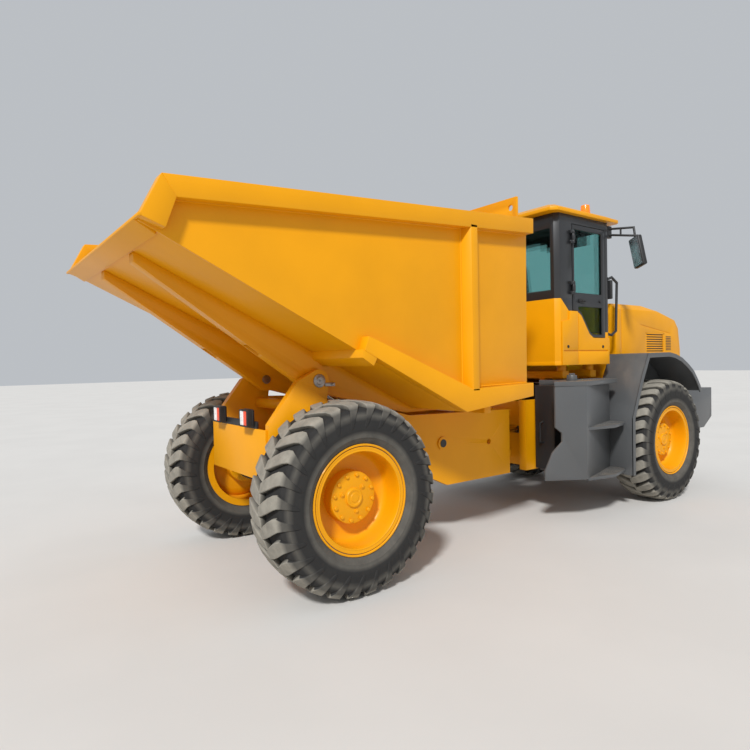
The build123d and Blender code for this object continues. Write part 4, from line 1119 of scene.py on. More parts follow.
@dataclass
class RearFrame:
    """Boxed rails with the body hinge's ears, the panel and the members between them."""

    inner: float = 440
    outer: float = 495
    rear: float = -365
    front: float = 2040
    tip: tuple = (30, 1370)
    ear: float = 80
    pin: float = 35.3
    foot: tuple = (1201, 812)
    foot_tube: float = 53
    foot_bore: float = 29
    hole: tuple = (1764, 772, 25)
    hinge_tube: tuple = (8, 1177, 42)
    panel: tuple = (470, 700, 1050, 16)
    coupling: tuple = (1960, 22, 470, 1030)
    pivot: tuple = (2220, 105, 38.3)
    levels: tuple = (960, 560)
    tongue: float = 60.6
    fork_plate: float = 26
    shaft_hole: tuple = (694, 105)
    steer: tuple = (230, 800, 45, 2102, 26, 16)
    rest: tuple = (1480, 1600, 930, 1047)

    def build(self, shop: Workshop) -> None:
        """Make the rails and the members.

        Args:
            shop: Makes the objects.
        """
        shop.make("rear_frame_rails", "body_yellow", Body.REAR.value, self.rail().both(), ("rear_rails",), 0.003)
        shop.make("rear_frame_members", "body_yellow", Body.REAR.value,
                  (self.members(), self.fork()), ("rear_cross_members",), 0.0025)

    def rail(self) -> Form:
        """Left boxed rail with its ear and bores."""
        tip_x, tip_z = self.tip
        outline = (
            (self.rear, 735), (self.rear, 1085), (-140, 1375), (tip_x - 25, tip_z + self.ear - 5),
            (tip_x + self.ear, tip_z), (tip_x + 60, 1228), (250, 1222), (860, 1066),
            (self.front, 1040), (self.front, 457), (1250, 457), (640, 735),
        )
        foot_x, foot_z = self.foot
        rail = fused(
            Form.plate(outline, self.inner, self.outer),
            Form.rod((tip_x, self.inner, tip_z), (tip_x, self.outer, tip_z), self.ear, sides=64),
            Form.rod((foot_x, self.outer - 5, foot_z), (foot_x, self.outer + 12, foot_z), self.foot_tube, sides=48),
        )
        hole_x, hole_z, hole = self.hole
        bores = ((tip_x, tip_z, self.pin), (hole_x, hole_z, hole), (foot_x, foot_z, self.foot_bore))
        return rail.cut(*(
            Form.rod((x, self.inner - 5, z), (x, self.outer + 20, z), radius, sides=40) for x, z, radius in bores
        ))

    def members(self) -> Form:
        """Rear panel, tubes and cross members."""
        half, low, high, thick = self.panel
        panel = Form.box((self.rear - thick, -half, low), (self.rear, half, high))
        x, z, radius = self.hinge_tube
        hinge_tube = Form.rod((x, -self.inner, z), (x, self.inner, z), radius, sides=40)
        axle_member = Form.box((-110, -self.inner, 830), (110, self.inner, 925))
        x0, x1, z0, z1 = self.rest
        rest = Form.box((x0, -self.inner, z0), (x1, self.inner, z1))
        pads = Form.box((x0 + 10, 345, z1 - 1), (x1 - 10, 435, 1084.7)).both()
        foot_x, foot_z = self.foot
        tube = Form.rod((foot_x, -self.inner, foot_z), (foot_x, self.inner, foot_z), self.foot_tube, sides=40)
        tube = tube.cut(Form.rod((foot_x, -self.inner - 5, foot_z), (foot_x, self.inner + 5, foot_z),
                                 self.foot_bore, sides=40))
        whole = Piece("members", "", "")
        whole.add(panel, hinge_tube, axle_member, fused(rest, *pads), tube)
        form = Form()
        form.mesh.free()
        form.mesh = whole.mesh
        return form

    def fork(self) -> Form:
        """Plate across the rails with the coupling's lugs and the steering brackets."""
        x, thick, low, high = self.coupling
        front = x + thick
        pivot_x, lug, bore = self.pivot
        parts = []
        for level in self.levels:
            for side in (-1, 1):
                bottom = level + side * (self.tongue + self.fork_plate) / 2 - self.fork_plate / 2
                parts.append(self.tapered_lug(front - 2, pivot_x, 210, lug, bottom, bottom + self.fork_plate))
        y, z, half, reach, eye, plate = self.steer
        for bottom in (z - eye - plate, z + eye):
            parts.extend(Form.box((front - 2, y - half, bottom), (reach, y + half, bottom + plate)).both())
        fork = fused(Form.box((x, -self.inner, low), (front, self.inner, high)), *parts)
        hole_z, hole = self.shaft_hole
        return fork.cut(
            Form.rod((pivot_x, 0, low - 20), (pivot_x, 0, high + 40), bore, sides=40),
            Form.rod((x - 20, 0, hole_z), (front + 40, 0, hole_z), hole, sides=56),
        )

    @staticmethod
    def tapered_lug(root: float, tip: float, root_half: float, radius: float, low: float, high: float) -> Form:
        """Flat hinge plate that tapers from its root to a round end.

        Args:
            root: x of its root.
            tip: x of the pivot.
            root_half: Half its width at the root.
            radius: Radius of the round end.
            low: Lower face.
            high: Upper face.

        Returns:
            The plate.
        """
        flat = Form.slab(((root, -root_half), (tip, -radius), (tip, radius), (root, root_half)), low, high)
        return fused(flat, Form.rod((tip, 0, low), (tip, 0, high), radius, sides=64))


@dataclass
class DumpBed:
    """Open scow-ended body with its rails, lip and underframe."""

    half: float = 980
    wall: float = 20
    rail: float = 73
    rear_end: float = -1307
    lip: tuple = (-1290, 2225)
    rear_top: tuple = (-1187, 2456)
    front_top: tuple = (1707, 2613)
    front_x: float = 1690
    front_low: float = 1199
    kink: tuple = (932, 1120)
    top_rail: float = 118
    lip_strip: float = 110
    lip_step: float = 16
    post: tuple = (960, 1065)
    headboard: tuple = (1630, 950, 190)
    headboard_hole: tuple = (884, 2723, 24)
    beam: tuple = (345, 435, 1085, 1640)
    tip: tuple = (30, 1370, 35.3)
    hoist_head: tuple = (420, 1290)
    hoist_y: float = 200

    def floor_z(self, x: float) -> float:
        """Underside of the floor: slope behind the kink, gentle rise ahead of it."""
        kink_x, kink_z = self.kink
        if x < kink_x:
            return kink_z + (kink_x - x) * (self.lip[1] - kink_z) / (kink_x - self.lip[0])
        return kink_z + (x - kink_x) * (self.front_low - kink_z) / (self.front_x - kink_x)

    def build(self, shop: Workshop) -> None:
        """Make the body and its underframe.

        Args:
            shop: Makes the objects.
        """
        shop.make("bed_shell", "body_yellow", Body.BED.value, self.shell(), ("dump_body",), 0.003)
        shop.make("bed_underframe", "body_yellow", Body.BED.value, self.underframe(), ("dump_underframe",), 0.003)
        shop.place(self.welds())

    def shell(self) -> list[Form]:
        """Sides, floor, front wall, headboard, rails, posts and lip, each a plate."""
        wall, half = self.wall, self.half
        inner, outer = half - wall, half + self.rail
        lip_x, lip_z = self.lip
        kink_x, kink_z = self.kink
        rear_x, rear_z = self.rear_top
        top_x, top_z = self.front_top
        low_x, low_z = self.front_x, self.front_low
        side = Form.plate((self.rear_top, self.front_top, (low_x, low_z), self.kink, self.lip), inner, half)
        floor = Form.plate((self.lip, self.kink, (low_x, low_z), (low_x, low_z + wall), (kink_x + 5, kink_z + wall),
                            (lip_x, lip_z + wall + 2)), -inner - 3, inner + 3)
        wall_top = top_z - 8
        front = Form.plate(((low_x - wall, low_z), (low_x, low_z), (top_x, wall_top), (top_x - wall, wall_top)),
                           -inner, inner)
        board_x, board_half, rise = self.headboard
        board = Form.box((board_x, -board_half, wall_top - 260), (board_x + wall, board_half, top_z + rise))
        hole_y, hole_z, hole = self.headboard_hole
        board = board.cut(*(Form.rod((board_x - 9, y, hole_z), (board_x + wall + 9, y, hole_z), hole, sides=32)
                            for y in (hole_y, -hole_y)))
        tie = Form.box((board_x, -board_half, wall_top - 200), (top_x - wall / 2, board_half, wall_top - 180))
        slope = (top_z - rear_z) / (top_x - rear_x)
        top = Form.plate((self.rear_top, self.front_top, (top_x - 2, top_z - self.top_rail),
                          (rear_x + 74, rear_z + 74 * slope - self.top_rail + 4)), inner - 1.0, outer)
        band = Form.plate((self.rear_top, (rear_x + 74, rear_z - 104), (lip_x + 117, lip_z - 38),
                           (lip_x - 9, lip_z + 9)), inner - 2, outer - 1.0)
        bottom = Form.plate((self.kink, (low_x - 7, low_z), (low_x - 7, low_z + 106), (1000, 1284),
                             (123, self.floor_z(123) + 118), (67, 1658), (32, self.floor_z(32))), half - 5, outer)
        post_rear, post_front = self.post
        post = Form.box((post_rear, half - 5, 1270), (post_front, outer, 2480))
        for vert in post.mesh.verts:
            if vert.co.x < post_rear + 1 and vert.co.y > half:
                vert.co.x += 38
        edge_top = lip_z + wall
        edge = Form.box((self.rear_end, -outer, lip_z + 3), (lip_x + 2, outer, edge_top))
        strip_x = self.rear_end + self.lip_strip
        strip = Form.plate(((self.rear_end + 2, edge_top - 1), (self.rear_end + 2, lip_z + 3),
                            (strip_x, self.floor_z(strip_x) - self.lip_step), (strip_x, self.floor_z(strip_x) + 2),
                            (lip_x + 4, edge_top)), -inner, inner)
        sides = [twin for form in (side, top, band, bottom, post) for twin in form.both()]
        return [floor, front, board, tie, edge, strip, *sides]

    def underframe(self) -> list[Form]:
        """Two deep beams with the hinge bores, the bolster, a cross member and the hoist brackets."""
        inner, outer, bottom, front = self.beam
        tip_x, tip_z, bore = self.tip
        outline = (
            (-1180, self.floor_z(-1180)), (-1180, self.floor_z(-1180) - 60), (tip_x - 160, tip_z + 15),
            (tip_x - 90, tip_z - 40), (tip_x - 20, tip_z - 92), (tip_x + 60, tip_z - 92), (250, 1235),
            (870, bottom), (front, bottom), (front, self.floor_z(front)), self.kink,
        )
        beam = Form.plate(outline, inner, outer)
        pocket = Form.box((-476, inner + 12, tip_z), (-367, outer - 12, self.floor_z(-476) - 70))
        beam = beam.cut(Form.rod((tip_x, inner - 5, tip_z), (tip_x, outer + 5, tip_z), bore, sides=48), pocket)
        reach = self.half + self.rail
        bolster = Form.plate(((15, self.floor_z(15)), (15, 1522), (101, 1469),
                              (130, self.floor_z(130))), -reach, reach)
        x0, x1 = 1215, 1285
        member = Form.plate(((x0, self.floor_z(x0)), (x1, self.floor_z(x1)), (x1, bottom), (x0, bottom)), -955, 955)
        parts = [bolster, member]
        head_x, head_z = self.hoist_head
        rear, ahead = head_x - 205, head_x + 110
        for offset in (32, -48):
            side = self.hoist_y + offset
            plate = Form.plate(((rear, self.floor_z(rear)), (ahead, self.floor_z(ahead)), (head_x + 45, head_z - 50),
                                (head_x - 90, head_z - 50)), side, side + 16)
            parts.extend(plate.both())
        return [*beam.both(), *parts]

    def welds(self) -> Piece:
        """Weld beads along the seams of the body, inside and out."""
        piece = Piece("bed_welds", "body_yellow", Body.BED.value)
        inner = self.half - self.wall
        low = self.wall + 2
        kink_x, kink_z = self.kink
        runs = [
            ((self.lip[0] + 10, inner, self.lip[1] + low), (kink_x + 3, inner, kink_z + low),
             (self.front_x - self.wall, inner, self.front_low + low)),
            ((self.front_x - self.wall + 1, inner, self.front_low + low), (self.front_top[0] - 24, inner, 2480)),
            ((self.rear_top[0] + 80, self.half, self.rear_top[1] - 107), (self.post[0] - 4, self.half, 2455)),
            ((self.post[1] + 4, self.half, 2462), (self.front_top[0] - 6, self.half, 2493)),
            ((1000, self.half, 1287), (123, self.half, self.floor_z(123) + 120)),
            ((self.post[0], self.half, 1290), (self.post[0], self.half, 2455)),
            ((self.post[1], self.half, 1296), (self.post[1], self.half, 2460)),
            ((self.post[1] + 4, self.half, 1294), (self.front_x - 10, self.half, 1307)),
        ]
        for run in runs:
            piece.pair(Form.tube(run, 5.5, 8))
        across = [(kink_x + 3, kink_z + low - 1), (self.front_x - self.wall, self.front_low + low)]
        for x, z in across:
            piece.add(Form.tube(((x, -inner, z), (x, inner, z)), 5, 8))
        return piece


# Cab


def beading(points: Sequence[Point], radius: float) -> Form:
    """Rubber bead along a closed run of points.

    Args:
        points: Corners of the run in order.
        radius: Radius of the bead.

    Returns:
        The bead.
    """
    run = [Vector(point) for point in points]
    start = (run[0] + run[-1]) / 2
    return Form.tube([start, *run, start], radius, 8)


@dataclass
class Cab:
    """Driver's cab: dark frame over painted walls, roof, glass, doors and fittings."""

    half: float = 720
    rear: float = 2475
    front: float = 3300
    floor: float = 1430
    floor_top: float = 1470
    wall: float = 45
    chamfer: float = 40
    waist: float = 2056
    top: float = 2850
    rail: float = 2770
    panel_top: float = 1750
    post: float = 75
    rear_window: tuple = (645, 2131, 2722)
    door_outline: tuple = (
        (2700, 2770), (3250, 2770), (3250, 1691), (3025, 1691), (2958, 1729),
        (2825, 1903), (2761, 1943), (2700, 1943),
    )
    upper_pane: tuple = ((2727, 2725), (3195, 2725), (3195, 2115), (2727, 2115))
    lower_pane: tuple = (
        (2788, 1995), (3195, 1995), (3195, 1718), (3032.1, 1718), (2976.2, 1749.7),
        (2843.2, 1923.7), (2788, 1958.3),
    )
    skin: tuple = ((2520, 1841), (2640, 1862), (2640, 1943), (2700, 1943))
    skin_proud: float = 14
    mounts: tuple = ((2740, 3200), 560, 45, 1372)
    hinge: tuple = (2697, 738, 16, 8)
    hinge_levels: tuple = (2160, 2640)
    leaf_gap: float = 6
    leaf: tuple = (723, 685)
    glass_half: float = 4
    roof: tuple = (2375, 3450, 770, 50, 30)
    roof_edge: float = 35
    roof_crown: float = 45
    hoop: tuple = ((0.0, 2290), (30, 2290), (105, 2315), (200, 2265), (175, 1770), (95, 1725),
                   (30, 1733), (0.0, 1733))
    mirror: tuple = (3400, 984, 2528)
    mirror_size: tuple = (50, 160, 300)
    mirror_turn: float = 28
    mirror_lean: float = 11.5

    def build(self, shop: Workshop) -> None:
        """Make the cab's pieces.

        Args:
            shop: Makes the objects.
        """
        front = Body.FRONT.value
        shop.make("cab_upper_frame", "cab_dark", front, self.frame(), ("cab_frame",), 0.003)
        shop.make("cab_lower_shell", "body_yellow", front, self.tub(), ("cab_tub",), 0.003)
        shop.make("cab_roof_shell", "body_yellow", front, (self.roof_form(),), ("cab_roof",), 0.006)
        shop.make("cab_windows", "window_glass", front, self.windows(), ("cab_glass",))
        shop.place(self.gaskets())
        shop.place(self.fittings())
        for side in Side:
            self.door(shop, side)
        self.mirrors(shop)
        self.interior(shop)

    def outline(self, inset: float) -> tuple:
        """Plan outline of the cab with its rear corners cut off."""
        half, rear, front = self.half - inset, self.rear + inset, self.front - inset
        cut = self.chamfer - inset * 0.4
        return ((rear, -half + cut), (rear + cut, -half), (front, -half), (front, half), (rear + cut, half),
                (rear, half - cut))

    def walls(self, low: float, high: float) -> Form:
        """Cab walls between two levels with the door openings cut."""
        ring = Form.slab(self.outline(0.0), low, high)
        hollow = Form.slab(self.outline(self.wall), low - 1, high + 1)
        opening = Form.plate(self.door_outline, -self.half - 9, -self.half + self.wall + 9)
        return ring.cut(hollow, *opening.both())

    def frame(self) -> list[Form]:
        """Dark posts, roof rail, window surrounds and the doors' fixed hinges."""
        half, low, high = self.rear_window
        window = Form.box((self.rear - 9, -half, low), (self.rear + self.wall + 9, half, high))
        screen = Form.box((self.front - self.wall - 9, -self.half + self.post, self.waist - 9),
                          (self.front + 9, self.half - self.post, self.rail))
        made = [self.walls(self.waist, self.top).cut(window, screen)]
        door_front = self.door_outline[1][0]
        post = Form.box((door_front, self.half - self.wall, self.panel_top), (self.front, self.half, self.waist + 1))
        nose = Form.box((self.front - self.wall, self.half - self.post, self.panel_top),
                        (self.front, self.half - self.wall + 1, self.waist + 1))
        wedge = Form.plate(((2515, self.waist + 1), (2700, self.waist + 1), (2700, 1943), (2645, 1943)),
                           self.half - self.wall, self.half)
        made.extend([*post.both(), *nose.both(), *wedge.both()])
        x, y, radius, pin = self.hinge
        for level in self.hinge_levels:
            for low in (level - 62, level + 32):
                made.extend(Form.rod((x, y, low), (x, y, low + 30), radius).both())
                made.extend(Form.box((x - 40, self.half - 2, low), (x, y + 6, low + 30)).both())
            made.extend(Form.rod((x, y, level - 60), (x, y, level + 60), pin, sides=16).both())
        return made

    def tub(self) -> list[Form]:
        """Floor, painted walls, outer side panels with their joints, and the mounts."""
        floor = Form.slab(self.outline(0.5), self.floor, self.floor_top)
        gap = Form.box((self.door_outline[1][0], -self.half - 9, self.panel_top),
                       (self.front + 9, self.half + 9, self.waist + 9))
        wedge = Form.plate(((2515, self.waist + 9), (2701, self.waist + 9), (2701, 1943), (2645, 1943)),
                           self.half - self.wall - 9, self.half + 9)
        walls = self.walls(self.floor_top - 2, self.waist).cut(gap, *wedge.both())
        lower = self.door_outline[:2:-1]
        outline = ((2520, self.floor + 2), *self.skin, *lower[1:], (self.front, 1691), (self.front, self.floor + 2))
        panel = Form.plate(outline, self.half - 1, self.half + self.skin_proud)
        across = Form.box((2540, self.half + 5, 1561), (self.front - 30, self.half + 30, 1571))
        upright = Form.box((2771, self.half + 5, self.floor), (2781, self.half + 30, 1950))
        panel = panel.cut(across, upright)
        places, y, radius, low = self.mounts
        feet = []
        for x in places:
            feet.extend(Form.rod((x, y, low), (x, y, self.floor + 1), radius, sides=32).both())
        return [floor, walls, *panel.both(), *feet]

    def roof_outline(self, inset: float) -> tuple:
        """Plan outline of the roof with its corners cut off."""
        rear, front, half, back, nose = self.roof
        rear, front, half = rear + inset, front - inset, half - inset
        return ((rear, -half + back), (rear + back, -half), (front - nose, -half), (front, -half + nose),
                (front, half - nose), (front - nose, half), (rear + back, half), (rear, half - back))

    def roof_form(self) -> Form:
        """Overhanging roof: edge, then a crown drawn in over it."""
        form = Form.slab(self.roof_outline(0.0), self.top, self.top + self.roof_edge)
        top = max(form.mesh.faces, key=lambda face: face.calc_center_median().z)
        bmesh.ops.inset_region(form.mesh, faces=[top], thickness=12, depth=0.0)
        grown = bmesh.ops.extrude_face_region(form.mesh, geom=[top])
        raised = [part for part in grown["geom"] if isinstance(part, bmesh.types.BMVert)]
        middle = Vector(((self.roof[0] + self.roof[1]) / 2, 0.0, 0.0))
        for vert in raised:
            away = vert.co - middle
            vert.co = Vector((middle.x + away.x * 0.85, away.y * 0.89, self.top + self.roof_edge + self.roof_crown))
        if top.is_valid:
            bmesh.ops.delete(form.mesh, geom=[top], context="FACES_ONLY")
        return form.closed()

    def windows(self) -> list[Form]:
        """Windscreen and rear window."""
        half, low, high = self.rear_window
        rear_x, front_x = self.rear + self.wall / 2, self.front - self.wall / 2
        reach = self.half - self.post
        return [
            Form.box((rear_x - self.glass_half, -half, low), (rear_x + self.glass_half, half, high)),
            Form.box((front_x - self.glass_half, -reach, self.panel_top),
                     (front_x + self.glass_half, reach, self.rail)),
        ]

    def gaskets(self) -> Piece:
        """Rubber beads round the windscreen and the rear window."""
        piece = Piece("cab_window_seals", "trim_plastic", Body.FRONT.value)
        half, low, high = self.rear_window
        reach = self.half - self.post
        for x, y, z0, z1 in ((self.rear + 10, half, low, high), (self.front - 10, reach, self.panel_top, self.rail)):
            piece.add(beading(((x, -y, z0), (x, y, z0), (x, y, z1), (x, -y, z1)), 9))
        return piece

    def fittings(self) -> Piece:
        """Locks of the side lids and the wipers of both windows."""
        piece = Piece("cab_fittings", "trim_plastic", Body.FRONT.value)
        skin = self.half + self.skin_proud
        for x, z in ((2606, 1606), (3180, 1606)):
            piece.pair(Form.rod((x, skin - 2, z), (x, skin + 6, z), 15, 13))
            piece.pair(Form.box((x - 3, skin + 5, z - 9), (x + 3, skin + 9, z + 9)))
        wiper_x = self.front + 12
        piece.add(Form.rod((self.front - 4, 120, 1800), (wiper_x + 8, 120, 1800), 16, 12))
        piece.add(Form.tube(((wiper_x, 120, 1800), (wiper_x + 4, -110, 2180), (wiper_x, -150, 2250)), 6, 8))
        piece.add(Form.box((wiper_x - 14, -165, 1990), (wiper_x - 2, -145, 2500)).rounded(3))
        rear_x = self.rear - 12
        piece.add(Form.rod((self.rear + 6, 0, 2170), (rear_x - 8, 0, 2170), 14, 11))
        piece.add(Form.tube(((rear_x, 0, 2170), (rear_x - 3, 130, 2400), (rear_x, 150, 2440)), 5.5, 8))
        piece.add(Form.box((rear_x + 2, 142, 2240), (rear_x + 12, 158, 2620)).rounded(3))
        return piece

    def door(self, shop: Workshop, side: Side) -> None:
        """Door leaf with its panes, seals, hinges and handle.

        Args:
            shop: Makes the objects.
            side: Side of the machine.
        """
        turn = MIRROR_Y if side is Side.LEFT else Matrix.Identity(4)
        body = Body.DOOR_LEFT.value if side is Side.LEFT else Body.DOOR_RIGHT.value
        outer, inner = -self.leaf[0], -self.leaf[1]
        leaf = Form.plate(shrunk(self.door_outline, self.leaf_gap), outer, inner)
        leaf = leaf.cut(*(Form.plate(pane, outer - 9, inner + 9) for pane in (self.upper_pane, self.lower_pane)))
        x, y, radius, _ = self.hinge
        parts = [leaf]
        for level in self.hinge_levels:
            parts.append(Form.rod((x, -y, level - 30), (x, -y, level + 30), radius))
            parts.append(Form.box((x, -y - 5, level - 30), (2726, outer + 2, level + 30)))
        shop.make(f"door_frame_{side.word}", "cab_dark", body,
                  (part.moved(turn) for part in parts), (f"door_{side.word}",), 0.003)
        mid = (outer + inner) / 2
        glass = Piece(f"door_window_{side.word}", "window_glass", body)
        for pane in (self.upper_pane, self.lower_pane):
            glass.add(Form.plate(pane, mid - self.glass_half, mid + self.glass_half).moved(turn))
        shop.place(glass, (f"door_glass_{side.word}",))
        trim = Piece(f"door_trim_{side.word}", "trim_plastic", body)
        for pane in (self.upper_pane, self.lower_pane):
            trim.add(beading([(px, outer + 6, pz) for px, pz in pane], 7).moved(turn))
        handle = Form.box((2800, outer - 12, 2022), (2888, outer + 2, 2066)).rounded(5)
        grip = Form.tube(((2812, outer - 10, 2044), (2818, outer - 30, 2044), (2872, outer - 30, 2044),
                          (2878, outer - 10, 2044)), 7, 8)
        stop = Form.rod((3150, outer - 14, 2052), (3150, outer + 2, 2052), 13, 16)
        inside = Form.tube(((3170, inner - 4, 2070), (3170, inner + 40, 2070), (2900, inner + 40, 2045),
                            (2900, inner - 4, 2045)), 9, 8)
        trim.add(*(part.moved(turn) for part in (handle, grip, stop, inside)))
        shop.place(trim)

    def mirrors(self, shop: Workshop) -> None:
        """Hand hoops, mirror arms and heads, and the mirrors' glass.

        Args:
            shop: Makes the objects.
        """
        x, y, z = self.mirror
        depth, width, height = self.mirror_size
        root_x, stub_y = self.front + 42.5, -self.half - 30
        turn = Matrix.Rotation(math.radians(-self.mirror_turn), 4, "Z")
        lean = Matrix.Rotation(math.radians(-self.mirror_lean), 4, "X")
        stand = Matrix.Translation((x, -y, z)) @ lean @ turn
        parts = [Form.box((self.front, -self.half, 2705), (self.front + 85, -self.half + 40, 2825)).rounded(4)]
        for level, knee in ((2790, (x, -y + 40, 2775)), (2728, (x, -y + 10, 2688))):
            parts.append(Form.tube(((root_x, -self.half + 10, level), (root_x, stub_y, level), knee,
                                    (x, -y + 12, z + 60)), 11, 14))
        share = (827 + stub_y) / (y - 40 + stub_y)
        tie_x = root_x + share * (x - root_x)
        parts.append(Form.rod((tie_x, -827, 2784), (tie_x, -827, 2716), 9))
        head = Form.box((-depth / 2, -width / 2, -height / 2), (depth / 2, width / 2, height / 2)).rounded(14, 3)
        parts.append(head.moved(stand))
        parts.append(Form.tube([(self.front + reach, -700, level) for reach, level in self.hoop], 13, 14))
        for level in (2290, 1733):
            parts.append(Form.rod((self.front - 1, -700, level), (self.front + 8, -700, level), 24))
        parts.append(Form.rod((self.front, -700, 2185), (self.front + 45, -700, 2185), 8))
        small = Form.box((self.front + 40, -735, 2090), (self.front + 70, -665, 2280)).rounded(9, 3)
        parts.append(small)
        piece = Piece("mirror_arms_and_hoops", "trim_plastic", Body.FRONT.value)
        piece.pair(*parts)
        shop.place(piece, ("mirrors_and_rails",))
        reach, rise = width / 2 - 11, height / 2 - 11
        face = Form.box((-depth / 2 - 1.5, -reach, -rise), (-depth / 2 + 2, reach, rise))
        shop.make("mirror_glass", "rod_chrome", Body.FRONT.value, face.moved(stand).both())

    def interior(self, shop: Workshop) -> None:
        """Console with gauges and column, steering wheel, arms with levers, pedals, mat and lining.

        Args:
            shop: Makes the objects.
        """
        front, floor = self.front - self.wall, self.floor_top
        console = Form.plate(((front, floor), (front, floor + 280), (3160, floor + 420), (3110, floor + 380),
                              (3150, floor)), -420, 420).rounded(12, 2)
        hub = Vector((3065, 0.0, floor + 560))
        column = Form.rod((3150, 0.0, floor + 330), hub, 34, 24)
        tilt = Matrix.Translation(hub) @ Vector((-0.5, 0.0, 1.0)).to_track_quat("Z", "Y").to_matrix().to_4x4()
        parts = [console, column, *self.steering_wheel(tilt)]
        for y in (-210, 0.0, 210):
            parts.append(Form.rod((3128, y, floor + 392), (3112, y, floor + 408), 38, 34))
        for y in (-360, -320, 320, 360):
            parts.append(Form.box((3119, y - 12, floor + 386), (3137, y + 12, floor + 412)).rounded(3))
        for y in (-300, 300):
            arm = Form.box((2680, y - 35, floor + 470), (3010, y + 35, floor + 530)).rounded(16, 3)
            stem = Form.box((2720, y - 25, floor), (2860, y + 25, floor + 480)).rounded(6)
            lever = Form.rod((2960, y, floor + 525), (2985, y, floor + 610), 9, 7)
            knob = Form.ball((2987, y, floor + 622), 21, (1.0, 1.0, 1.25))
            parts.extend((arm, stem, lever, knob))
        for y in (-130, 110):
            pedal = Form.box((3050, y - 38, floor + 60), (3075, y + 38, floor + 170)).rounded(5)
            parts.extend((pedal, Form.rod((3070, y, floor + 100), (3150, y, floor + 60), 9)))
        shop.make("dash_and_controls", "trim_plastic", Body.FRONT.value, parts, ("dash_console",))
        lining = Piece("cab_lining", "seat_fabric", Body.FRONT.value)
        lining.add(Form.slab(self.outline(self.wall + 4), self.top - 14, self.top + 2))
        lining.add(Form.slab(((2525, -660), (3145, -660), (3145, 660), (2525, 660)), floor - 1, floor + 9))
        lining.add(Form.box((self.rear + self.wall - 1, -630, floor), (self.rear + self.wall + 12, 630, 2050)))
        lining.add(Form.box((front - 75, -560, 2640), (front - 62, -80, 2760)).rounded(4))
        shop.place(lining)

    @staticmethod
    def steering_wheel(tilt: Matrix) -> list[Form]:
        """Rim, spokes and boss of the steering wheel.

        Args:
            tilt: Place of its middle, with its axis along z.

        Returns:
            Its shapes.
        """
        round_rim = []
        for index in range(12):
            turn = math.tau * index / 12
            round_rim.append((13 * math.cos(turn), 172 + 13 * math.sin(turn)))
        stand_up = tilt @ Matrix.Rotation(math.radians(90), 4, "X")
        made = [Form.lathe(round_rim, 48).moved(stand_up), Form.rod((0, 0, -16), (0, 0, 14), 42, 34).moved(tilt)]
        for angle in (0.0, 120, 240):
            spoke = Form.box((20, -13, -6), (166, 13, 5)).rounded(3)
            made.append(spoke.moved(tilt @ Matrix.Rotation(math.radians(angle), 4, "Z")))
        return made


@dataclass
class Seat:
    """Driver's seat: sprung base, padded cushion and backrest, headrest and belt buckle."""

    floor: float = 1470
    base: tuple = (2660, 2940, 190, 260)
    cushion: tuple = (2620, 3030, 240, 120)
    back: tuple = (225, 650, 120, 6.6)
    channels: tuple = (-0.55, 0.55)

    def build(self, shop: Workshop) -> None:
        """Make the seat's pieces.

        Args:
            shop: Makes the objects.
        """
        x0, x1, half, rise = self.base
        top = self.floor + rise
        front = Body.FRONT.value
        stand = Piece("seat_stand", "trim_plastic", front)
        stand.add(Form.box((x0, -half, self.floor), (x1, half, self.floor + 60)).rounded(8))
        for index in range(6):
            level = self.floor + 60 + index * 26
            inset = 10 + 14 * (index % 2)
            stand.add(Form.box((x0 + inset, -half + inset, level), (x1 - inset, half - inset, level + 27)).rounded(6))
        stand.add(Form.box((x0 - 10, -half - 10, self.floor + 215), (x1 + 40, half + 10, top)).rounded(8))
        stand.add(Form.rod((x1, half + 5, top - 25), (x1 + 60, half + 5, top - 25), 9))
        buckle = Form.box((x0 + 60, half + 42, top + 20), (x0 + 100, half + 66, top + 110)).rounded(5)
        stand.add(buckle)
        shop.place(stand, ("driver_seat",))
        x0, x1, half, rise = self.cushion
        pad = Form.cushion((x0, -half, top), (x1, half, top + rise), self.channels)
        self.padded(shop.make("seat_cushion_pad", "seat_fabric", front, (pad,)), 0.85)
        width, height, thick, lean = self.back
        tilt = Matrix.Translation((x0 + 70, 0.0, top + 70)) @ Matrix.Rotation(math.radians(-lean), 4, "Y")
        stand_up = Matrix.Rotation(math.radians(90), 4, "Y")
        back = Form.cushion((-height, -width, -thick / 2), (0.0, width, thick / 2), self.channels).moved(stand_up)
        self.padded(shop.make("seat_back_pad", "seat_fabric", front, (back.moved(tilt),)), 0.85)
        block = Form.cushion((-150, -120, -42), (0.0, 120, 42)).moved(stand_up)
        head = block.moved(tilt @ Matrix.Translation((0.0, 0.0, height + 8)))
        self.padded(shop.make("seat_headrest_pad", "seat_fabric", front, (head,)), 0.9)

    @staticmethod
    def padded(obj: bpy.types.Object, fill: float) -> None:
        grown = obj.modifiers.new("soft", "SUBSURF")
        grown.levels = grown.render_levels = 1


# Hood, fenders and the front's fittings


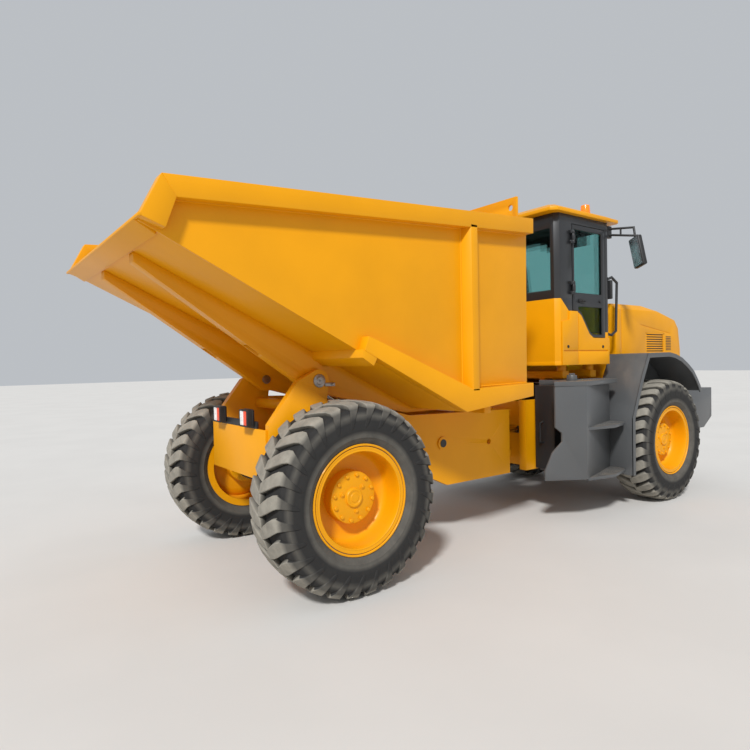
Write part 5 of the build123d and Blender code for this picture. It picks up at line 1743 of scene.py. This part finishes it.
@dataclass
class Hood:
    """Opening hood over its fixed cowl, with slatted grilles in its sides and nose."""

    rear: float = 3640
    seam: float = 3758
    front: float = 5040
    half: float = 600
    crown: float = 540
    bottom: float = 1130
    top: float = 2075
    shoulder: float = 2015
    wall: float = 25
    gap: float = 6
    slope_start: float = 4249
    slope_end: float = 4910
    slope_drop: float = 150
    nose: tuple = ((45, 245), (0.0, 500))
    side_grille: tuple = (4254, 4665, 1300, 1770)
    front_grille: tuple = (440, 1200, 1560)
    hinge: tuple = (3755, 2104, 350, 90, 12)
    crease: tuple = ((4145, 1859), (4803, 1771))

    def build(self, shop: Workshop) -> None:
        """Make the cowl, the hood, the grilles and their fittings.

        Args:
            shop: Makes the objects.
        """
        shop.make("cowl_band", "body_yellow", Body.FRONT.value, self.cowl(), ("hood_cowl",), 0.003)
        shop.make("hood_panelling", "body_yellow", Body.HOOD.value, self.shell(), ("hood_shell",), 0.006)
        shop.make("hood_slats", "body_yellow", Body.HOOD.value, self.grilles(), ("hood_grilles",), 0.0015)
        backing = Piece("hood_mesh_backing", "grille_black", Body.HOOD.value)
        x0, x1, z0, z1 = self.side_grille
        backing.pair(Form.box((x0 + 4, self.half - 24, z0 + 4), (x1 - 4, self.half - 20.5, z1 - 4)))
        half, z0, z1 = self.front_grille
        backing.add(Form.box((self.front - 24, -half + 4, z0 + 4), (self.front - 20.5, half - 4, z1 - 4)))
        shop.place(backing)
        shop.place(self.fittings())

    def section(self, x_from: float, x_to: float, inset: float) -> Form:
        """Straight stretch of the hood's cross-section.

        Args:
            x_from: Rear end.
            x_to: Front end.
            inset: How far the outline is drawn in.

        Returns:
            The solid stretch.
        """
        half, crown = self.half - inset, self.crown - inset * 0.6
        top, shoulder = self.top - inset, self.shoulder - inset * 0.6
        bottom = self.bottom - (50 if inset else 0.0)
        return Form.wall(((-half, bottom), (half, bottom), (half, shoulder), (crown, top), (-crown, top),
                          (-half, shoulder)), x_from, x_to)

    def solid(self, inset: float) -> Form:
        """Whole hood as a solid: straight part, sloping top and leaning nose."""
        (lean, lean_drop), (foot, foot_drop) = self.nose
        end = self.front + 200
        cutter = Form.plate((
            (self.slope_start, self.top - inset), (self.slope_end - inset / 2, self.top - self.slope_drop - inset),
            (self.front - lean - inset, self.top - lean_drop - inset / 2),
            (self.front - foot - inset, self.top - foot_drop), (end, self.top - foot_drop), (end, self.top + 100),
            (self.slope_start, self.top + 100)), -self.half - 50, self.half + 50)
        rear = self.seam - (20 if inset else 0.0)
        return self.section(rear, self.front - inset, inset).cut(cutter)

    def shell(self) -> list[Form]:
        """Hollow hood with its openings and its hinge knuckles."""
        x0, x1, z0, z1 = self.side_grille
        half, low, high = self.front_grille
        (a, b), (c, d) = self.crease
        groove = Form.plate(((a, b), (c, d), (c, d - 8), (a, b - 8)), self.half - 5, self.half + 9)
        shell = self.solid(0.0).cut(
            self.solid(self.wall), Form.box((x0, -self.half - 10, z0), (x1, self.half + 10, z1)),
            Form.box((self.front - self.wall - 60, -half, low), (self.front + 10, half, high)), *groove.both(),
        )
        x, z, y, length, radius = self.hinge
        third = length / 6 - 1
        knuckle = Form.rod((x, y - third, z), (x, y + third, z), radius)
        strap = Form.box((x, y - third, self.top - 1), (x + 60, y + third, z))
        return [shell, *knuckle.both(), *strap.both()]

    def cowl(self) -> list[Form]:
        """Fixed band behind the hood with its firewall, sills and hinge lugs."""
        front = self.seam - self.gap
        band = self.section(self.rear, front, 0.0).cut(
            self.section(self.rear + 15, front + 9, self.wall),
            Form.box((self.rear - 9, -self.half + self.wall, 900), (self.rear + 24, self.half - self.wall, 1250)),
        )
        sill = Form.box((self.rear, 380, 1100), (front, self.half, self.bottom + 1))
        x, z, y, length, radius = self.hinge
        parts = [band, *sill.both()]
        for low in (y - length / 2, y + length / 6):
            parts.extend(Form.rod((x, low, z), (x, low + length / 3, z), radius).both())
            parts.extend(Form.box((x - 50, low, self.top - 1), (x, low + length / 3, z)).both())
        return parts

    @staticmethod
    def bars(u0: float, u1: float, z0: float, z1: float) -> list[tuple[float, float, float, float]]:
        """Frame and slats of a grille as (from, to, low, high) bars."""
        rim, pitch, height = 16, 26, 15
        made = [(u0, u1, z0, z0 + rim), (u0, u1, z1 - rim, z1), (u0, u0 + rim, z0, z1), (u1 - rim, u1, z0, z1)]
        count = int((z1 - z0 - 2 * rim) / pitch)
        step = (z1 - z0 - rim) / (count + 1)
        for index in range(1, count + 1):
            level = z0 + index * step
            made.append((u0 + 10, u1 - 10, level, level + height))
        return made

    def grilles(self) -> list[Form]:
        """Slatted panels of the sides and the nose, with their slats set back a little behind the frame."""
        x0, x1, z0, z1 = self.side_grille
        made = []
        for index, (u0, u1, low, high) in enumerate(self.bars(x0 + 0.3, x1 - 0.3, z0 + 0.3, z1 - 0.3)):
            inset = 3 if index > 3 else 0.0
            made.extend(Form.box((u0, self.half - 20, low), (u1, self.half - inset, high)).both())
        half, z0, z1 = self.front_grille
        for index, (u0, u1, low, high) in enumerate(self.bars(-half + 0.3, half - 0.3, z0 + 0.3, z1 - 0.3)):
            inset = 3 if index > 3 else 0.0
            made.append(Form.box((self.front - 20, u0, low), (self.front - inset, u1, high)))
        return made

    def fittings(self) -> Piece:
        """Latches and the louvres of the side vents."""
        piece = Piece("hood_fittings", "grille_black", Body.HOOD.value)
        side = self.half
        for x in (3900, 4560):
            piece.pair(Form.box((x, side - 1, 1190), (x + 70, side + 9, 1260)).rounded(4))
            piece.pair(Form.rod((x + 35, side + 8, 1225), (x + 35, side + 15, 1225), 14, 11))
        for index in range(9):
            level = 1571 + index * 19
            piece.pair(Form.box((4699, side - 1, level), (4814, side + 2.5, level + 8)))
        return piece


@dataclass
class Fenders:
    """Bent sheets over the front wheels with deep rims, inner walls and end lamps."""

    outer: float = 1030
    inner: float = 610
    skin: float = 16
    rim: float = 45
    shelf: float = 1090
    frame_top: float = 1100
    frame_side: float = 400
    profile: tuple = (
        (3200, 350), (3200, 910), (3372, 1300), (3500, 1530), (3930, 1538), (4057, 1519),
        (4192, 1480), (4330, 1412), (4443, 1342), (4528, 1258), (4596, 1175), (4632, 1118),
    )

    def build(self, shop: Workshop) -> None:
        """Make the fenders and their lamps.

        Args:
            shop: Makes the objects.
        """
        piece = Piece("wheel_arches", "chassis_grey", Body.FRONT.value)
        rear, start, end = (self.profile[index][0] for index in (0, 2, -1))
        parts = [
            ribbon(self.profile, self.skin, -self.outer, -self.inner),
            ribbon(self.profile, self.rim, -self.outer - 0.5, -self.outer + 14),
            Form.plate([*self.profile[2:], (end, self.frame_top), (start, self.frame_top)],
                       -self.inner - 12, -self.inner + 0.5),
            Form.box((start + 5, -self.inner - 11, self.frame_top - 30),
                     (end - 5, -self.frame_side, self.frame_top - 0.5)),
            Form.box((rear + 1, -self.inner - 10, self.shelf - 30), (start + 30, -self.frame_side, self.shelf)),
            Form.box((rear, -self.inner - 5, 450), (rear + self.skin, -self.frame_side, self.shelf)),
        ]
        for x, z in ((3420, 1375), (3480, 1480), (3700, 1520), (3900, 1525)):
            parts.append(Form.rod((x, -self.inner + 1, z - 30), (x, -self.inner - 22, z - 30), 9, sides=6))
        piece.pair(*parts)
        shop.place(piece, ("front_fenders",), edge=0.003)
        shop.make("arch_marker_housings", "trim_plastic", Body.FRONT.value,
                  Form.box((4628, -1010, 1122), (4646, -950, 1160)).rounded(5).both())
        shop.make("arch_marker_lenses", "lamp_lens", Body.FRONT.value,
                  Form.box((4645, -1003, 1128), (4649, -957, 1154)).rounded(1.5, 1).both())


@dataclass
class Tanks:
    """Step tanks with their rear wings, lids and steps, and their fittings."""

    bottom: float = 410
    top: float = 1290
    lid: float = 45
    step_depth: float = 26
    levels: tuple = (870, 415)
    cap: tuple = (2560, -800, 42)
    plan: tuple = (
        (2090, -758.2), (2485, -1000), (3200, -787), (3200, -430), (2560, -430),
        (2540, -700), (2440, -952), (2090, -744),
    )
    lid_plan: tuple = (
        (2228, -850), (2485, -1000), (3199, -872), (3199, -430), (2560, -430), (2540, -700),
        (2240, -838),
    )
    step_plan: tuple = (
        (2530, -985), (2860, -1045), (3150, -975), (3199, -930), (3199, -782), (2530, -960),
    )
    notch: tuple = (
        (2050, 400), (2157, 400), (2157, 500), (2217, 661), (2292, 753), (2292, 832),
        (2240, 882), (2240, 1300), (2050, 1300),
    )

    def shells(self) -> list[Form]:
        """Right-hand tank, its lid and its two steps."""
        parts = [
            Form.slab(self.plan, self.bottom, self.top - self.lid).cut(Form.plate(self.notch, -1100, -300)),
            Form.slab(self.lid_plan, self.top - self.lid + 0.5, self.top),
        ]
        parts.extend(Form.slab(self.step_plan, level - self.step_depth, level) for level in self.levels)
        return parts

    def boxes(self, shop: Workshop) -> None:
        """Make the boxes behind the tanks' wings, with their handles; their black finish is painted shade of the dark
        hollow there.
        """
        box = Form.box((2440, -690, 450), (2556, -470, self.top - self.lid - 2)).rounded(8)
        handle = Form.tube(((2441, -560, 700), (2400, -560, 715), (2400, -560, 885), (2441, -560, 900)), 8, 10)
        # black here is painted shade: the boxes fill the shaded hollow behind each wing
        shop.make("tank_rear_boxes", "grille_black", Body.FRONT.value, [*box.both(), *handle.both()])

    def build(self, shop: Workshop) -> None:
        """Make the tanks and their fittings.

        Args:
            shop: Makes the objects.
        """
        tanks = Piece("tank_shells", "chassis_grey", Body.FRONT.value)
        tanks.pair(*self.shells())
        shop.place(tanks, ("step_tanks",), edge=0.003)
        self.boxes(shop)
        piece = Piece("tank_treads_and_cap", "chassis_grey", Body.FRONT.value)
        for level, reach in ((870, 0.0), (415, 0.0), (self.top, -60)):
            for row in range(5):
                for column in range(14):
                    x = 2620 + column * 38 + (19 if row % 2 else 0.0)
                    y = -955 + row * 30 + (110 if reach else 0.0)
                    stud = Form.rod((x, y, level - 1), (x, y, level + 4), 8, 5, 6)
                    piece.pair(stud)
        x, y, rise = self.cap
        piece.pair(Form.rod((x, y, self.top), (x, y, self.top + rise + 8), 50, 44, 32).rounded(3))
        grip = Form.box((x - 40, y - 7, self.top + rise + 6), (x + 40, y + 7, self.top + rise + 24)).rounded(4)
        piece.pair(grip)
        for bolt_x in (2700, 2900, 3100):
            piece.pair(hex_head((bolt_x, -470, self.top), (0, 0, 1), 13, 9))
        for bolt_x in (2600, 3140):
            for level in (520, 1180):
                piece.pair(hex_head((bolt_x, -440, level), (0, 1, 0), 13, 9))
        shop.place(piece)


@dataclass
class TailLamps:
    """Black housings on a bracket over the rear panel, each with a pale and a red lens."""

    back: float = -381
    bottom: float = 1062
    middle: float = 245
    size: tuple = (60, 130, 120)
    rim: float = 8

    def build(self, shop: Workshop) -> None:
        """Make the bracket, the housings and the lenses.

        Args:
            shop: Makes the objects.
        """
        depth, width, height = self.size
        housing = Piece("tail_lamp_housings", "trim_plastic", Body.REAR.value)
        housing.add(Form.box((self.back, -335, 1050), (self.back + 16, 335, 1100)).rounded(2))
        white = Piece("tail_lamp_pale_lenses", "lamp_lens", Body.REAR.value)
        red = Piece("tail_lamp_red_lenses", "lamp_red", Body.REAR.value)
        low, high = self.bottom, self.bottom + height
        face = self.back - depth
        for middle in (-self.middle, self.middle):
            left, right = middle + width / 2, middle - width / 2
            shell = Form.box((face, right, low), (self.back, left, high)).rounded(7, 3)
            recess = Form.box((face - 9, right + self.rim, low + self.rim),
                              (face + 14, left - self.rim, high - self.rim))
            housing.add(shell.cut(recess))
            rear_ring = Form.box((self.back - 20, right - 3, low - 3), (self.back - 8, left + 3, high + 3)).rounded(3)
            housing.add(rear_ring)
            for lens, y0, y1 in ((white, middle + 3, left - self.rim - 2), (red, right + self.rim + 2, middle - 3)):
                dome = Form.box((face + 1, y0, low + self.rim + 2), (face + 14, y1, high - self.rim - 2))
                lens.add(dome.rounded(6, 3))
                for index in range(5):
                    level = low + self.rim + 18 + index * 19
                    lens.add(Form.box((face, y0 + 8, level), (face + 3, y1 - 8, level + 9)).rounded(2, 1))
        for piece, nodes in ((housing, ("tail_lamps",)), (white, ()), (red, ())):
            shop.place(piece, nodes)


@dataclass
class Running:
    """Small fittings of both frames: pin locks, bolts, axle covers, hoist pipes, engine and nose."""

    tip: tuple = (30, 1370)
    frame_side: float = 495
    wheel_z: float = 627
    wheelbase: float = 3946
    hoist_foot: tuple = (1201, 812)
    hoist_head: tuple = (420, 1290)
    hoist_y: float = 200
    shaft_face: float = 322
    pivot: tuple = (2220, 1028)
    nose_face: float = 5400
    engine_rear: float = 3990

    def build(self, shop: Workshop) -> None:
        """Make the fittings of both frames.

        Args:
            shop: Makes the objects.
        """
        shop.place(self.pin_locks())
        shop.place(self.tube_mouths())
        shop.place(self.axle_covers(Body.REAR, 0.0, -1.0))
        shop.place(self.axle_covers(Body.FRONT, self.wheelbase, 1.0))
        shop.place(self.hoist_pipes())
        shop.place(self.coupling())
        shop.place(self.engine())
        shop.place(self.headlamp_rims())

    def pin_locks(self) -> Piece:
        """Lock plates, grease nipples and bolts at the body's hinge."""
        piece = Piece("hinge_pin_locks", "pin_steel", Body.REAR.value)
        x, z = self.tip
        side = self.frame_side
        parts = [
            Form.box((x + 44, side - 1, z - 42), (x + 128, side + 9, z - 16)).rounded(3),
            hex_head((x + 108, side + 9, z - 29), (0, 1, 0), 11, 9),
            Form.rod((x, side + 7, z), (x, side + 14, z), 30, 26),
            Form.rod((x, side + 13, z), (x, side + 24, z), 6, 4, 12),
        ]
        piece.pair(*parts)
        return piece

    def tube_mouths(self) -> Piece:
        """Black discs in the mouths of the cross tube that carries the hoist cylinders' feet: painted shade of the
        tube's hollow.
        """
        piece = Piece("cross_tube_mouths", "grille_black", Body.REAR.value)
        x, z = self.hoist_foot
        # black disc over the bore is painted shade inside the tube
        mouth = Form.rod((x, self.frame_side + 9, z), (x, self.frame_side + 16, z), 33, sides=40)
        return piece.add(*mouth.both())

    def axle_covers(self, body: Body, x: float, face: float) -> Piece:
        """Cover and bolts on the back of an axle's bowl, a plug, and bands round the axle's arms.

        Args:
            body: Body that carries the axle.
            x: Place of the axle.
            face: Direction in which the cover looks.

        Returns:
            The piece.
        """
        piece = Piece(f"axle_cover_{body.name.lower()}", "axle_iron", body.value)
        lie = Matrix.Translation((x, 0.0, self.wheel_z)) @ Matrix.Rotation(math.radians(-90 * face), 4, "Z")
        ring = Form.lathe(((60, 0.0), (60, 186), (84, 186), (88, 182), (88, 168), (150, 140),
                           (186, 80), (196, 0.0)), 64)
        piece.add(ring.moved(lie))
        for dx, dz in ring_spots(14, 176, 8):
            piece.add(hex_head((dx, 88, dz), (0, 1, 0), 9, 8).moved(lie))
        piece.add(hex_head((0.0, 150, -125), (0, 1, -0.4), 16, 12).moved(lie))
        for y in (560, 640):
            band = Form.lathe(((y, 92), (y, 108), (y + 14, 108), (y + 14, 92)), 48)
            piece.pair(band.moved(Matrix.Translation((x, 0.0, self.wheel_z))))
        return piece

    def hoist_pipes(self) -> Piece:
        """Steel pipes, clamps and gland rings on the hoist barrels."""
        piece = Piece("hoist_barrel_pipes", "chassis_grey", "hoist_tubes")
        run = Vector((self.hoist_head[0] - self.hoist_foot[0], 0.0, self.hoist_head[1] - self.hoist_foot[1]))
        along = run.normalized()
        above = Vector((along.z, 0.0, -along.x))
        foot = Vector((self.hoist_foot[0], self.hoist_y, self.hoist_foot[1]))
        gland = foot + along * 560
        piece.pair(Form.rod(gland, gland + along * 78, 69, sides=48).rounded(4))
        offset = -above * 74
        path = [foot + along * 130 + offset * 0.8, foot + along * 160 + offset, foot + along * 520 + offset,
                foot + along * 560 + offset * 0.85]
        piece.pair(Form.tube(path, 8, 10))
        for share in (220, 440):
            ring = Form.rod(foot + along * share, foot + along * (share + 22), 64, sides=40)
            piece.pair(ring)
        return piece

    def coupling(self) -> Piece:
        """Bolts of the rear drive flange and of the coupling's upper pin."""
        piece = Piece("shaft_flange_bolts", "pin_steel", Body.REAR.value)
        for dy, dz in ring_spots(8, 50, 22):
            piece.add(hex_head((self.shaft_face, dy, self.wheel_z + dz), (1, 0, 0), 8, 7))
        x, top = self.pivot
        piece.add(hex_head((x, 0.0, top), (0, 0, 1), 16, 10))
        for dx, dy in ring_spots(4, 40, 45):
            piece.add(hex_head((x + dx, dy, top), (0, 0, 1), 7, 5))
        return piece

    def engine(self) -> Piece:
        """Rocker cover, manifolds, filters and radiator round the engine block."""
        piece = Piece("engine_fittings", "engine_grey", Body.FRONT.value)
        piece.add(Form.box((3960, -150, 1758), (4760, 150, 1850)).rounded(22, 3))
        for index in range(6):
            x = 4020 + index * 125
            piece.add(Form.rod((x, 0, 1848), (x, 0, 1858), 26, 22))
            piece.add(Form.rod((x, 180, 1700), (x, 395, 1660), 30))
            piece.add(Form.box((x - 34, -352, 1100), (x + 34, -328, 1640)).rounded(8))
            piece.add(Form.box((x - 34, 328, 1000), (x + 34, 340, 1560)).rounded(5))
        piece.add(Form.rod((self.engine_rear, 400, 1655), (4690, 400, 1655), 48, sides=32))
        for x in (4200, 4360):
            piece.add(Form.rod((x, -330, 1180), (x, -440, 1180), 52, 50, 32))
        piece.add(Form.rod((4500, -400, 1560), (4720, -400, 1560), 78, sides=32).rounded(9))
        piece.add(Form.rod((self.engine_rear, -60, 1930), (4330, -60, 1930), 78, sides=40).rounded(10))
        piece.add(Form.tube(((4330, -60, 1930), (4400, -60, 1925), (4440, 60, 1890), (4440, 180, 1790)), 34, 20))
        piece.add(Form.box((4893, -320, 1130), (4975, 320, 1740)).rounded(10))
        for index in range(24):
            y = -299 + index * 26
            piece.add(Form.box((4974, y - 3, 1150), (4979, y + 3, 1720)))
        return piece

    def headlamp_rims(self) -> Piece:
        """Rims round the headlamps and the tow pin in the counterweight."""
        piece = Piece("nose_fittings", "trim_plastic", Body.FRONT.value)
        face = self.nose_face
        for y in (-640, 640):
            ring = Form.lathe(((0.0, 76), (0.0, 92), (12, 90), (17, 84), (17, 76)), 48)
            turn = Matrix.Translation((face - 1, y, 900)) @ Matrix.Rotation(math.radians(-90), 4, "Z")
            piece.add(ring.moved(turn))
        piece.add(Form.rod((face - 90, 0, 1108), (face - 90, 0, 1150), 24, 20))
        piece.add(Form.box((face - 118, -60, 1104), (face - 62, 60, 1122)).rounded(4))
        return piece


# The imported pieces


@dataclass
class CadDress:
    """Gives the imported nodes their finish, rounded edges and smooth shading."""

    palette: Palette
    frame: dict
    group: bpy.types.NodeTree
    edge: float = 0.003
    fine_edge: float = 0.0015
    welded_gap: float = 0.00002
    fine: tuple = ("headlamps", "beacon")

    def dress(self) -> None:
        """Dress every node from its slot in the record."""
        slots = {row["node"]: row["material_slot"] for row in self.frame["record"]["subparts"]}
        for name, node in self.frame["nodes"].items():
            node.data.materials.clear()
            node.data.materials.append(self.palette.get(slots[name]))
            weld = node.modifiers.new("weld", "WELD")
            weld.merge_threshold = self.welded_gap
            if not node.hide_render:
                soften(node, self.fine_edge if name in self.fine else self.edge)
            node.modifiers.new("smooth", "NODES").node_group = self.group
        LOG.info("dressed %d packed nodes", len(slots))


@dataclass
class Smoothing:
    """Shading that runs smoothly over edges below an angle."""

    smooth_angle: float = 32

    def tree(self) -> bpy.types.NodeTree:
        """Node group that shades smooth across edges below the angle.

        Returns:
            The geometry node group.
        """
        group = bpy.data.node_groups.new("smooth_by_angle", "GeometryNodeTree")
        group.interface.new_socket("Geometry", in_out="INPUT", socket_type="NodeSocketGeometry")
        group.interface.new_socket("Geometry", in_out="OUTPUT", socket_type="NodeSocketGeometry")
        start = group.nodes.new("NodeGroupInput")
        end = group.nodes.new("NodeGroupOutput")
        faces = group.nodes.new("GeometryNodeSetShadeSmooth")
        faces.domain = "FACE"
        edges = group.nodes.new("GeometryNodeSetShadeSmooth")
        edges.domain = "EDGE"
        angle = group.nodes.new("GeometryNodeInputMeshEdgeAngle")
        below = group.nodes.new("FunctionNodeCompare")
        below.operation = "LESS_THAN"
        below.inputs["B"].default_value = math.radians(self.smooth_angle)
        group.links.new(start.outputs[0], faces.inputs["Geometry"])
        group.links.new(faces.outputs["Geometry"], edges.inputs["Geometry"])
        group.links.new(angle.outputs["Unsigned Angle"], below.inputs["A"])
        group.links.new(below.outputs["Result"], edges.inputs["Shade Smooth"])
        group.links.new(edges.outputs["Geometry"], end.inputs[0])
        return group


# The studio


@dataclass
class Studio:
    """Pale floor, even sky, soft key light and the camera at the photograph's place."""

    camera_place: Point = (-4.107, -3.979, 1.489)
    yaw: float = 53.45
    pitch: float = -1.22
    roll: float = -1.13
    focal_share: float = 573.9 / 750
    sensor: float = 36
    floor_half: float = 60
    floor_colour: Colour = (0.66, 0.64, 0.61)
    world_colour: Colour = (0.86, 0.90, 0.95)
    world_strength: float = 0.58
    sun_towards: Point = (0.60, 0.50, -0.68)
    sun_strength: float = 3
    sun_angle: float = 7

    def build(self) -> None:
        """Make the floor, the world, the lamps and the camera."""
        self.floor()
        self.world()
        self.sun()
        self.camera()
        LOG.info("studio ready")

    def floor(self) -> None:
        """Flat pale floor under the wheels."""
        sheet = bmesh.new()
        bmesh.ops.create_grid(sheet, x_segments=1, y_segments=1, size=self.floor_half)
        mesh = bpy.data.meshes.new("studio_floor")
        sheet.to_mesh(mesh)
        sheet.free()
        obj = bpy.data.objects.new("studio_floor", mesh)
        bpy.context.scene.collection.objects.link(obj)
        shader = Shader("studio_floor")
        surface = shader.principled
        surface.inputs["Roughness"].default_value = 0.9
        pale = self.floor_colour
        shade = tuple(0.97 * part for part in pale)
        tone = shader.ramp(shader.noise(0.8, 4), "Fac", ((0.4, shade), (0.6, pale)))
        shader.link(tone, "Color", surface, "Base Color")
        mesh.materials.append(shader.material)

    def world(self) -> None:
        """Pale even sky."""
        world = bpy.data.worlds.new("studio_sky")
        world.use_nodes = True
        background = world.node_tree.nodes["Background"]
        background.inputs["Color"].default_value = (*self.world_colour, 1.0)
        background.inputs["Strength"].default_value = self.world_strength
        bpy.context.scene.world = world

    def sun(self) -> None:
        """Soft key light from behind the camera, a little from its left."""
        data = bpy.data.lights.new("key", "SUN")
        data.energy = self.sun_strength
        data.angle = math.radians(self.sun_angle)
        obj = bpy.data.objects.new("key", data)
        towards = Vector(self.sun_towards).normalized()
        obj.rotation_mode = "QUATERNION"
        obj.rotation_quaternion = towards.to_track_quat("-Z", "Y")
        bpy.context.scene.collection.objects.link(obj)

    def camera(self) -> None:
        """Camera with the photograph's place, turn and field of view."""
        data = bpy.data.cameras.new("camera")
        data.sensor_width = self.sensor
        data.lens = self.sensor * self.focal_share
        data.clip_end = 500
        obj = bpy.data.objects.new("camera", data)
        yaw, pitch, roll = (math.radians(turn) for turn in (self.yaw, self.pitch, self.roll))
        ahead = Vector((math.cos(yaw) * math.cos(pitch), math.sin(yaw) * math.cos(pitch), math.sin(pitch)))
        right = Vector((math.sin(yaw), -math.cos(yaw), 0.0))
        above = right.cross(ahead)
        right, above = (
            right * math.cos(roll) + above * math.sin(roll),
            above * math.cos(roll) - right * math.sin(roll),
        )
        turn = Matrix((right, above, -ahead)).transposed()
        obj.matrix_world = Matrix.Translation(self.camera_place) @ turn.to_4x4()
        bpy.context.scene.collection.objects.link(obj)
        bpy.context.scene.camera = obj


def main() -> None:
    """Load the frame, dress it and set up the studio."""
    logging.basicConfig(level=logging.INFO, format="%(name)s: %(message)s")
    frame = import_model()
    palette = Palette()
    smoothing = Smoothing().tree()
    shop = Workshop(palette, smoothing)
    Wheels().build(shop)
    RearFrame().build(shop)
    DumpBed().build(shop)
    Cab().build(shop)
    Seat().build(shop)
    Hood().build(shop)
    Fenders().build(shop)
    Tanks().build(shop)
    TailLamps().build(shop)
    Running().build(shop)
    CadDress(palette, frame, smoothing).dress()
    LOG.info("%d pieces made", shop.count)
    Studio().build()
    bpy.context.scene.view_settings.view_transform = "Standard"


if __name__ == "__main__":
    main()
